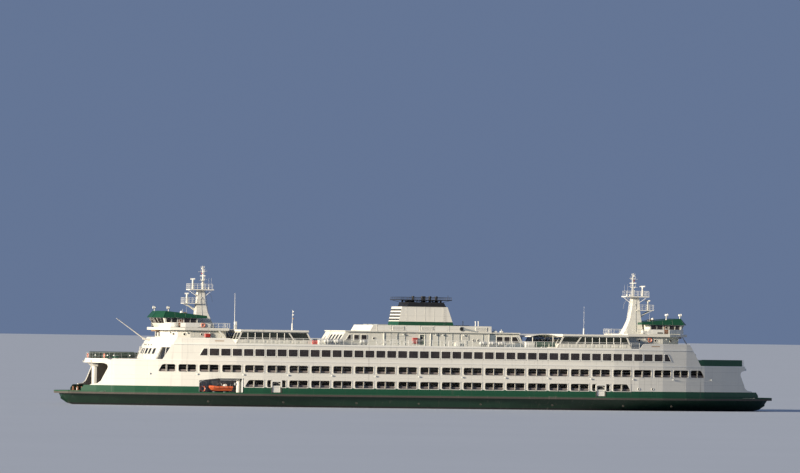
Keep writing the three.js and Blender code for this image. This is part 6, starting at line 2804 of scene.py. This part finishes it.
    def on_crest(self, corner: int, side: int) -> Point:
        """Where one of the roof's hips meets its top.

        Args:
            corner: which of the eave's corners the hip starts from.
            side: -1 for starboard, 1 for port.

        Returns:
            The point.
        """
        (x0, y0), (x1, y1) = self.eave[corner], self.crest[corner]
        high = self.roof_at(x1)
        rise = (high - self.roof[0]) / (self.roof[1] - self.roof[0])
        return (x0 + (x1 - x0) * rise, side * (y0 + (y1 - y0) * rise), high - 0.01)

    def roof_gear(self) -> Shape:
        """The roof's hips, gutter, searchlights and aerials.

        Returns:
            The gear.
        """
        shape = Shape()
        low, high = self.roof
        for side in (-1, 1):
            crest = [self.on_crest(edge, side) for edge in range(len(self.crest))]
            for (x, y), end in zip(self.eave, crest):
                shape.rod((x, side * y, low + 0.02), end, 0.04, ROOF_GREEN, 5)
            gutter = [(x - 0.02, side * (y - 0.02), low + 0.02) for x, y in self.eave]
            shape.pipe(gutter, 0.045, ROOF_GREEN, 5)
            shape.pipe(crest, 0.035, ROOF_GREEN, 5)
            for x in (44.5, 46.5, 48.5):
                head = self.roof_at(x)
                y = 4.7 - 0.5 * (head - low) / (high - low)
                shape.rod((x, side * 4.7, low + 0.04), (x, side * y, head - 0.02), 0.025, ROOF_GREEN, 4)
            foot = self.roof_at(44.2) - 0.02
            shape.rod((44.2, side * 3.6, foot), (44.2, side * 3.6, foot + 1.5), 0.03, TRIM, 5, 0.01)
        shape.rod((52.18, -1.7, low + 0.02), (52.18, 1.7, low + 0.02), 0.045, ROOF_GREEN, 5)
        lamp = searchlight()
        for x in (47.8, 50.5):
            shape.stamp(lamp, Matrix.Translation((x, -2.9, high - 0.2)) @ Matrix.Scale(0.85, 4))
            shape.rod((x, -2.9, self.roof_at(x) - 0.05), (x, -2.9, high - 0.1), 0.12, TRIM, 10)
        dome = [(0, 0), (0, 0.2), (0.12, 0.3), (0.34, 0.3), (0.52, 0.2), (0.6, 0)]
        top = self.roof_at(46.1) - 0.04
        shape.lathe(dome, (46.1, 0, top), UP, TRIM, 16)
        shape.rod((46.1, 0.9, top), (46.1, 0.9, top + 0.9), 0.04, TRIM, 6, 0.02)
        horn = [(0, 0.05), (0.2, 0.06), (0.45, 0.1), (0.6, 0.18), (0.61, 0)]
        for y in (-0.5, -0.2):
            shape.lathe(horn, (44.9, y, top + 0.2), ALONG, BRONZE, 10)
            shape.rod((45.0, y, top - 0.15), (45.0, y, top + 0.2), 0.03, STEEL, 5)
        return shape

    def build(self) -> None:
        """Dresses both bridges."""
        for name, shape in (
            ("bridge_house_fittings", self.walls()),
            ("bridge_deck_edge", self.deck_edge()),
            ("pilothouse_glass", self.glazing()),
            ("pilothouse_roof_gear", self.roof_gear()),
        ):
            shape.twice().finish(name)
        for end in End:
            for side, sign in (("starboard", -1), ("port", 1)):
                sign = -sign if end is End.A else sign
                pane = window(0.38, 0.4, frame=0.05, round_by=0.06)
                leaf = Shape().stamp(pane, Matrix.Translation((0, 1.16, -0.03)))
                for x in (-0.3, 0.3):
                    leaf.plate(square(x - 0.03, 0.08, x + 0.03, 0.62), (0, 0, 0.012), DOOR_WOOD)
                leaf.rod((0.3, 0.75, 0), (0.3, 0.75, 0.05), 0.02, STEEL)
                placed = Shape().stamp(leaf, on_wall((47.35, sign * 4.2, 14.46), (-sign, 0, 0)))
                placed.at(end).finish(f"door_{side}_{end}_window", f"door_{side}_{end}")


# The masts


@dataclass
class Mast:
    """A mast with its platforms and radars. Drawn at end b and turned for end a.

    Attributes:
        lower: the lower platform's ends, half breadth and height.
        upper: the upper platform's ends, half breadth and height.
        pole: where the pole stands, and its foot and head.
        yards: the heights of its yards and half their breadths.
        scanners: each radar's name, place along the ship, height and half breadth.
    """

    lower: tuple[float, float, float, float] = (42.6, 45.96, 1.1, 18.92)
    upper: tuple[float, float, float, float] = (40.3, 44.9, 1.4, 21.5)
    pole: tuple[float, float, float] = (42.1, 21.4, 25.8)
    yards: tuple[Pair, ...] = ((24.75, 1.3), (23.2, 1.5))
    scanners: tuple[tuple[str, float, float, float], ...] = (
        ("radar_upper", 44.0, 23.05, 1.25),
        ("radar_lower", 45.1, 20.35, 1.1),
    )

    def tower(self) -> Shape:
        """The tower's seams, ladder, door and lamps.

        Returns:
            The fittings.
        """
        shape = Shape()
        for side in (-1, 1):
            line = [(42.35, side * 1.3, 14.8), (42.45, side * 0.72, 18.0), (42.6, side * 0.68, 21.2)]
            shape.pipe(line, 0.03, SHADE_GREY, 4)
        for foot, head in (((40.65, 14.6), (40.95, 17.0)), ((40.98, 17.0), (41.63, 21.3))):
            shape.add(ladder((foot[0], 0, foot[1]), (head[0], 0, head[1]), (0, 0.4, 0)))
        place = on_wall((43.72, 0, 14.5), TO_PORT, (-0.1, 0, 1))
        shape.stamp(doorleaf(0.7, 1.6, TRIM, False), place)
        for z in (16.4, 19.8):
            for y in (-0.675, 0.675):
                shape.block((42.4, y), (0.1, 0.08), (z, z + 0.2), SHADE_GREY, 0.02)
        head = [(0, 0.05), (0, 0.15), (0.22, 0.15), (0.26, 0.05)]
        for x, z in ((43.35, 17.7), (43.2, 20.3)):
            shape.rod((x - 0.2, 0, z), (x + 0.2, 0, z), 0.04, TRIM, 5)
            shape.lathe(head, (x + 0.25, 0, z), UP, TRIM, 10)
        return shape

    def platforms(self) -> Shape:
        """The platforms' rails, brackets and braces.

        Returns:
            The fittings.
        """
        shape = Shape()
        for x0, x1, half, z in (self.lower, self.upper):
            edge = [(x0 + 0.3, -half), (x1, -half), (x1, half), (x0 + 0.3, half)]
            edge = [(x - 0.05, y * 0.95, z) for x, y in edge]
            shape.add(fence(edge, 0.95, 0.75, 3, TRIM, 0.025))
            for y in (-half * 0.9, half * 0.9):
                shape.rod((x1 - 0.3, y, z - 0.15), (43.1, y * 0.5, z - 1.25), 0.04, TRIM, 5)
        x0, _, half, z = self.upper
        for y in (-1, 1):
            shape.rod((x0 + 0.25, y * half * 0.8, z - 0.2), (41.8, y * 0.5, z - 1.3), 0.04, TRIM, 5)
        return shape

    def topmast(self) -> Shape:
        """The pole's yards, lamps, aerials and stays.

        Returns:
            The fittings.
        """
        shape = Shape()
        x, _, top = self.pole
        deck = self.upper[3]
        for z, half in self.yards:
            shape.rod((x, -half, z), (x, half, z), 0.035, TRIM, 6)
            shape.rod((x - 0.8, 0, z + 0.12), (x + 0.9, 0, z - 0.06), 0.03, TRIM, 6)
            for y in (-half, half):
                shape.rod((x, y, z), (x, y, z + 0.5), 0.02, TRIM, 5)
                shape.rod((x, y, z), (x, y * 0.12, z + 0.55), 0.012, WIRE_ROPE, 4)
        lamp = [(0, 0.04), (0, 0.11), (0.2, 0.11), (0.24, 0.04)]
        for z, way, glass in ((22.4, 0.24, LAMP), (23.0, 0.24, LAMP), (24.3, 0.2, RED), (25.2, 0.18, LAMP)):
            shape.rod((x, 0, z), (x + way, 0, z), 0.03, TRIM, 5)
            shape.lathe(lamp, (x + way, 0, z), UP, glass, 10)
            shape.lathe([(0.24, 0.13), (0.28, 0.05)], (x + way, 0, z), UP, TRIM, 10)
        shape.rod((x - 0.3, 0, top - 0.35), (x + 0.35, 0, top - 0.35), 0.03, TRIM, 5)
        for step in (-0.3, 0.35):
            shape.rod((x + step, 0, top - 0.35), (x + step, 0, top - 0.02), 0.04, TRIM, 6, 0.02)
        shape.add(ladder((x - 0.2, 0, deck), (x - 0.15, 0, 25.2), (0, 0.3, 0)))
        for y in (-0.95, 0.95):
            shape.rod((40.7, y, deck), (40.7, y, 23.6), 0.02, TRIM, 5, 0.01)
            shape.lathe([(0, 0.1), (0.15, 0.16), (0.3, 0.12), (0.36, 0)], (41.2, y, deck), UP, TRIM, 12)
        shape.pipe([(41.2, 0, 21.2), (40.4, 0, 20.2), (40.2, 0, 19.1)], 0.02, WIRE_ROPE, 4)
        return shape

    def scanner(self, x: float, z: float, half: float) -> Shape:
        """The radar's beam cover, drawn around its hub.

        Args:
            x: where the hub is along the ship.
            z: how high it is.
            half: half the beam's length.

        Returns:
            The cover.
        """
        made = Shape()
        made.box((x - 0.1, -half, z + 0.22), (x + 0.1, half, z + 0.4), TRIM, 0.03)
        made.box((x + 0.08, -half + 0.05, z + 0.25), (x + 0.13, half - 0.05, z + 0.37), SHADE_GREY, 0.01)
        for y in (-half, half):
            made.block((x, y), (0.12, 0.04), (z + 0.19, z + 0.43), TRIM, 0.02)
        return made.lathe([(0, 0.1), (0.02, 0.17), (0.2, 0.17), (0.24, 0.1)], (x, 0, z), UP, TRIM, 14)

    def build(self) -> None:
        """Dresses both masts and their radars."""
        self.tower().twice().finish("mast_towers")
        self.platforms().twice().finish("mast_platforms")
        self.topmast().twice().finish("mast_heads")
        for end in End:
            for name, x, z, half in self.scanners:
                node = f"{name}_{end}"
                self.scanner(x, z, half).at(end).finish(f"{node}_cover", node)


# Below the waterline, and the trim of the hull


@dataclass
class Hull:
    """The hull's trim and the running gear's fittings. The gear is drawn at end b and turned for end a.

    Attributes:
        shaft: the propeller shaft's height and the hub's aft end.
        discharges: where the discharge rings are along the ship.
        anodes: where the anodes are.
        staffs: each jackstaff's end, length and rise in degrees.
    """

    shaft: Pair = (-3.2, 59.8)
    discharges: tuple[float, ...] = (-44, -30, -16, -4, 8, 22, 36, 46)
    anodes: tuple[float, ...] = (-52, -26, 0.0, 26, 52)
    staffs: tuple[tuple[End, float, float], ...] = ((End.A, 6.4, 35.0), (End.B, 2.0, 121.0))

    def trim(self) -> None:
        """Puts the anodes and the discharges' rings on the hull."""
        ring = Shape().ring((0, 0, 0.02), UP, 0.14, 0.05, GUARD, 14, 5)
        anode = Shape().plate(around(1.2, 0.2), (0, 0, 0.08), STEEL, bevel=0.02)
        shape = Shape().stamp(ring, *(on_side(x, 0.9, -0.3) for x in self.discharges))
        shape.stamp(anode, *(on_side(x, -1.6, -0.35) for x in self.anodes))
        shape.twice(ACROSS).finish("hull_fittings")

    def gear(self) -> None:
        """Dresses the propellers, rudders and skegs."""
        z, aft = self.shaft
        for end in End:
            profile = [(0, 0.23), (0.12, 0.2), (0.3, 0.1), (0.36, 0)]
            cone = Shape().lathe(profile, (aft, 0, z), ALONG, BRONZE, 18)
            for turn in range(6):
                angle = turn * math.tau / 6
                cone.ball((aft - 0.02, 0.17 * math.cos(angle), z + 0.17 * math.sin(angle)), 0.045, BRONZE)
            cone.ring((58.5, 0, z), ALONG, 0.43, 0.03, BRONZE, 24, 5)
            cone.at(end).finish(f"propeller_{end}_cone", f"propeller_{end}")
            blade = Shape()
            for side in (-1, 1):
                y = side * 0.16
                for level in (-4.4, -3.4, -2.4):
                    blade.box((61.5, y - 0.04, level), (63.4, y + 0.04, level + 0.06), HULL, 0.02)
                y = side * 0.17
                for x in (61.7, 62.9):
                    blade.box((x, y - 0.05, -3.9), (x + 0.35, y + 0.05, -3.6), STEEL, 0.02)
            blade.at(end).finish(f"rudder_{end}_webs", f"rudder_{end}")
        gland = [(0, 0.56), (0, 0.62), (0.12, 0.62), (0.12, 0.5)]
        shape = Shape().lathe(gland, (58.2, 0, z), ALONG, STEEL, 20)
        for level in (-4.6, -2.0, -1.4):
            for y in (-0.36, 0.36):
                shape.box((54.0, y - 0.06, level), (55.2, y + 0.06, level + 0.2), STEEL, 0.03)
        shape.twice().finish("skeg_fittings")

    def jackstaffs(self) -> None:
        """Puts the trucks, cleats and halyards on the jackstaffs."""
        for end, long, rise in self.staffs:
            slope = math.radians(rise)
            way = Vector((math.cos(slope), 0, math.sin(slope)))
            foot = Vector((53.2, 0, 12.2))
            shape = Shape().ball(foot + way * (long - 0.02), 0.08, TRIM, (1, 1, 0.7))
            for share in (0.2, 0.96):
                shape.ring(foot + way * long * share, way, 0.11, 0.025, STEEL, 12, 4)
            lift = Vector((-way.z, 0, way.x)) * 0.13
            top = foot + way * long * 0.96 + lift * 0.8
            shape.rod(foot + way * long * 0.2 + lift, top, 0.012, WIRE_ROPE, 4)
            shape.at(end).finish(f"jackstaff_{end}_halyard", f"jackstaff_{end}")

    def build(self) -> None:
        """Dresses the hull and the running gear."""
        self.trim()
        self.gear()
        self.jackstaffs()


# The stage


@dataclass
class Studio:
    """The floor at the waterline, the light and the camera.

    Attributes:
        floor: the floor's radius in model metres.
        eye: where the camera stands, in model metres.
        heading: how far the camera is turned from the beam, in degrees.
        tilt: how far it looks up, in degrees.
        roll: how far it is rolled, in degrees.
        lens: its focal length in mm.
        sun: where the sun stands, as its heading and height in degrees.
        sun_size: how wide it is, in degrees.
        sun_strength: how strong it is.
        sun_colour: its colour.
        sky: the sky's colour.
        sky_strength: how bright it is.
        tones: the floor's two tones.
        sensor: the camera's sensor width in mm.
        clip: the nearest and farthest that it sees.
    """

    floor: float = 1200
    eye: tuple[float, float, float] = (-34.57, -111.67, 1.4)
    heading: float = -17.01
    tilt: float = 0.88
    roll: float = 0.82
    lens: float = 281.4
    sun: Pair = (-71, 12)
    sun_size: float = 7
    sun_strength: float = 7.0
    sun_colour: Colour = (1.0, 0.91, 0.77)
    sky: Colour = (0.43, 0.6, 1.0)
    sky_strength: float = 0.3
    tones: tuple[Colour, Colour] = ((0.5, 0.53, 0.57), (0.54, 0.57, 0.61))
    sensor: float = 36
    clip: Pair = (1, 4000)

    def camera(self) -> None:
        """Sets the camera up where the photograph was taken from."""
        made = bpy.data.cameras.new("view")
        made.sensor_width = self.sensor
        made.lens = self.lens
        made.clip_start, made.clip_end = self.clip
        held = bpy.data.objects.new("view", made)
        held.matrix_world = (
            Matrix.Translation(self.eye)
            @ Matrix.Rotation(math.radians(self.heading), 4, "Z")
            @ Matrix.Rotation(math.radians(90 + self.tilt), 4, "X")
            @ Matrix.Rotation(math.radians(self.roll), 4, "Z")
        )
        bpy.context.scene.collection.objects.link(held)
        bpy.context.scene.camera = held

    def light(self) -> None:
        """Sets up a soft low sun and a pale sky."""
        lamp = bpy.data.lights.new("sun", "SUN")
        lamp.energy = self.sun_strength
        lamp.angle = math.radians(self.sun_size)
        lamp.color = self.sun_colour
        held = bpy.data.objects.new("sun", lamp)
        heading, height = (math.radians(a) for a in self.sun)
        way = Vector((math.sin(heading), -math.cos(heading), math.tan(height)))
        held.matrix_world = facing((0, 0, 20), way)
        bpy.context.scene.collection.objects.link(held)
        world = bpy.data.worlds.new("sky")
        world.use_nodes = True
        background = world.node_tree.nodes["Background"]
        background.inputs["Color"].default_value = (*self.sky, 1)
        background.inputs["Strength"].default_value = self.sky_strength
        bpy.context.scene.world = world

    def ground(self) -> None:
        """Lays the pale floor that the ship's waterline lies on."""
        part = bmesh.new()
        bmesh.ops.create_circle(part, cap_ends=True, segments=96, radius=self.floor)
        mesh = bpy.data.meshes.new("floor")
        part.to_mesh(mesh)
        part.free()
        shader = Shader("floor")
        haze = shader.noise(shader.place(), 0.02, 2)
        colour = shader.mix(haze, *self.tones)
        mesh.materials.append(shader.surface(Base_Color=colour, Roughness=0.8))
        held = bpy.data.objects.new("floor", mesh)
        bpy.context.scene.collection.objects.link(held)

    def build(self) -> None:
        """Sets the whole stage."""
        self.camera()
        self.light()
        self.ground()
        bpy.context.scene.view_settings.view_transform = "Standard"


NODE_FINISHES: dict[Finish, tuple[str, ...]] = {
    HULL: ("hull", *both("rudder")),
    GUARD_RAIL: ("guard_rail",),
    DECK: ("vehicle_deck",),
    GREEN: (*sides("bulwark"), *both("end_bulwark")),
    WHITE: (
        *sides("shell"),
        *sides("cabin_side"),
        *both("cabin_front"),
        *both("end_arch"),
        "casing",
        "deckhouse",
        "canopy",
        *both("bridge_house"),
        *both("pilothouse"),
        *both("mast"),
        *both("davit"),
        *both("jackstaff"),
        *both("radar_upper"),
        *both("radar_lower"),
    ),
    # The mezzanines inside the car decks are grey: painted shade.
    SHADE_GREY: sides("mezzanine"),
    TRIM: tuple(end for side in sides("gate") for end in both(side)),
    END_DECK_PAINT: ("passenger_deck",),
    SUN_DECK_PAINT: ("sun_deck",),
    BRIDGE_DECK_PAINT: both("bridge_deck"),
    ROOF_PAINT: ("deckhouse_roof", *both("shelter")),
    ROOF_GREEN: both("pilothouse_roof"),
    FUNNEL_BANDS: ("funnel",),
    BLACK: ("funnel_cap",),
    BRONZE: both("propeller"),
    DOOR_WOOD: tuple(end for side in sides("door") for end in both(side)),
    ORANGE: both("rescue_boat"),
}


def main() -> None:
    """Builds the ship's pieces and the stage around her."""
    logging.basicConfig(level=logging.INFO, format="%(message)s")
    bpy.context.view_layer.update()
    Studio().build()
    for finish, nodes in NODE_FINISHES.items():
        dress(finish, *nodes)
    for part in (
        CarDeckSides(),
        PassengerCabin(),
        OpenEnds(),
        BoatRecess(),
        SunDeck(),
        Deckhouse(),
        Funnel(),
        Shelters(),
        Bridge(),
        Mast(),
        Hull(),
    ):
        part.build()


if __name__ == "__main__":
    main()
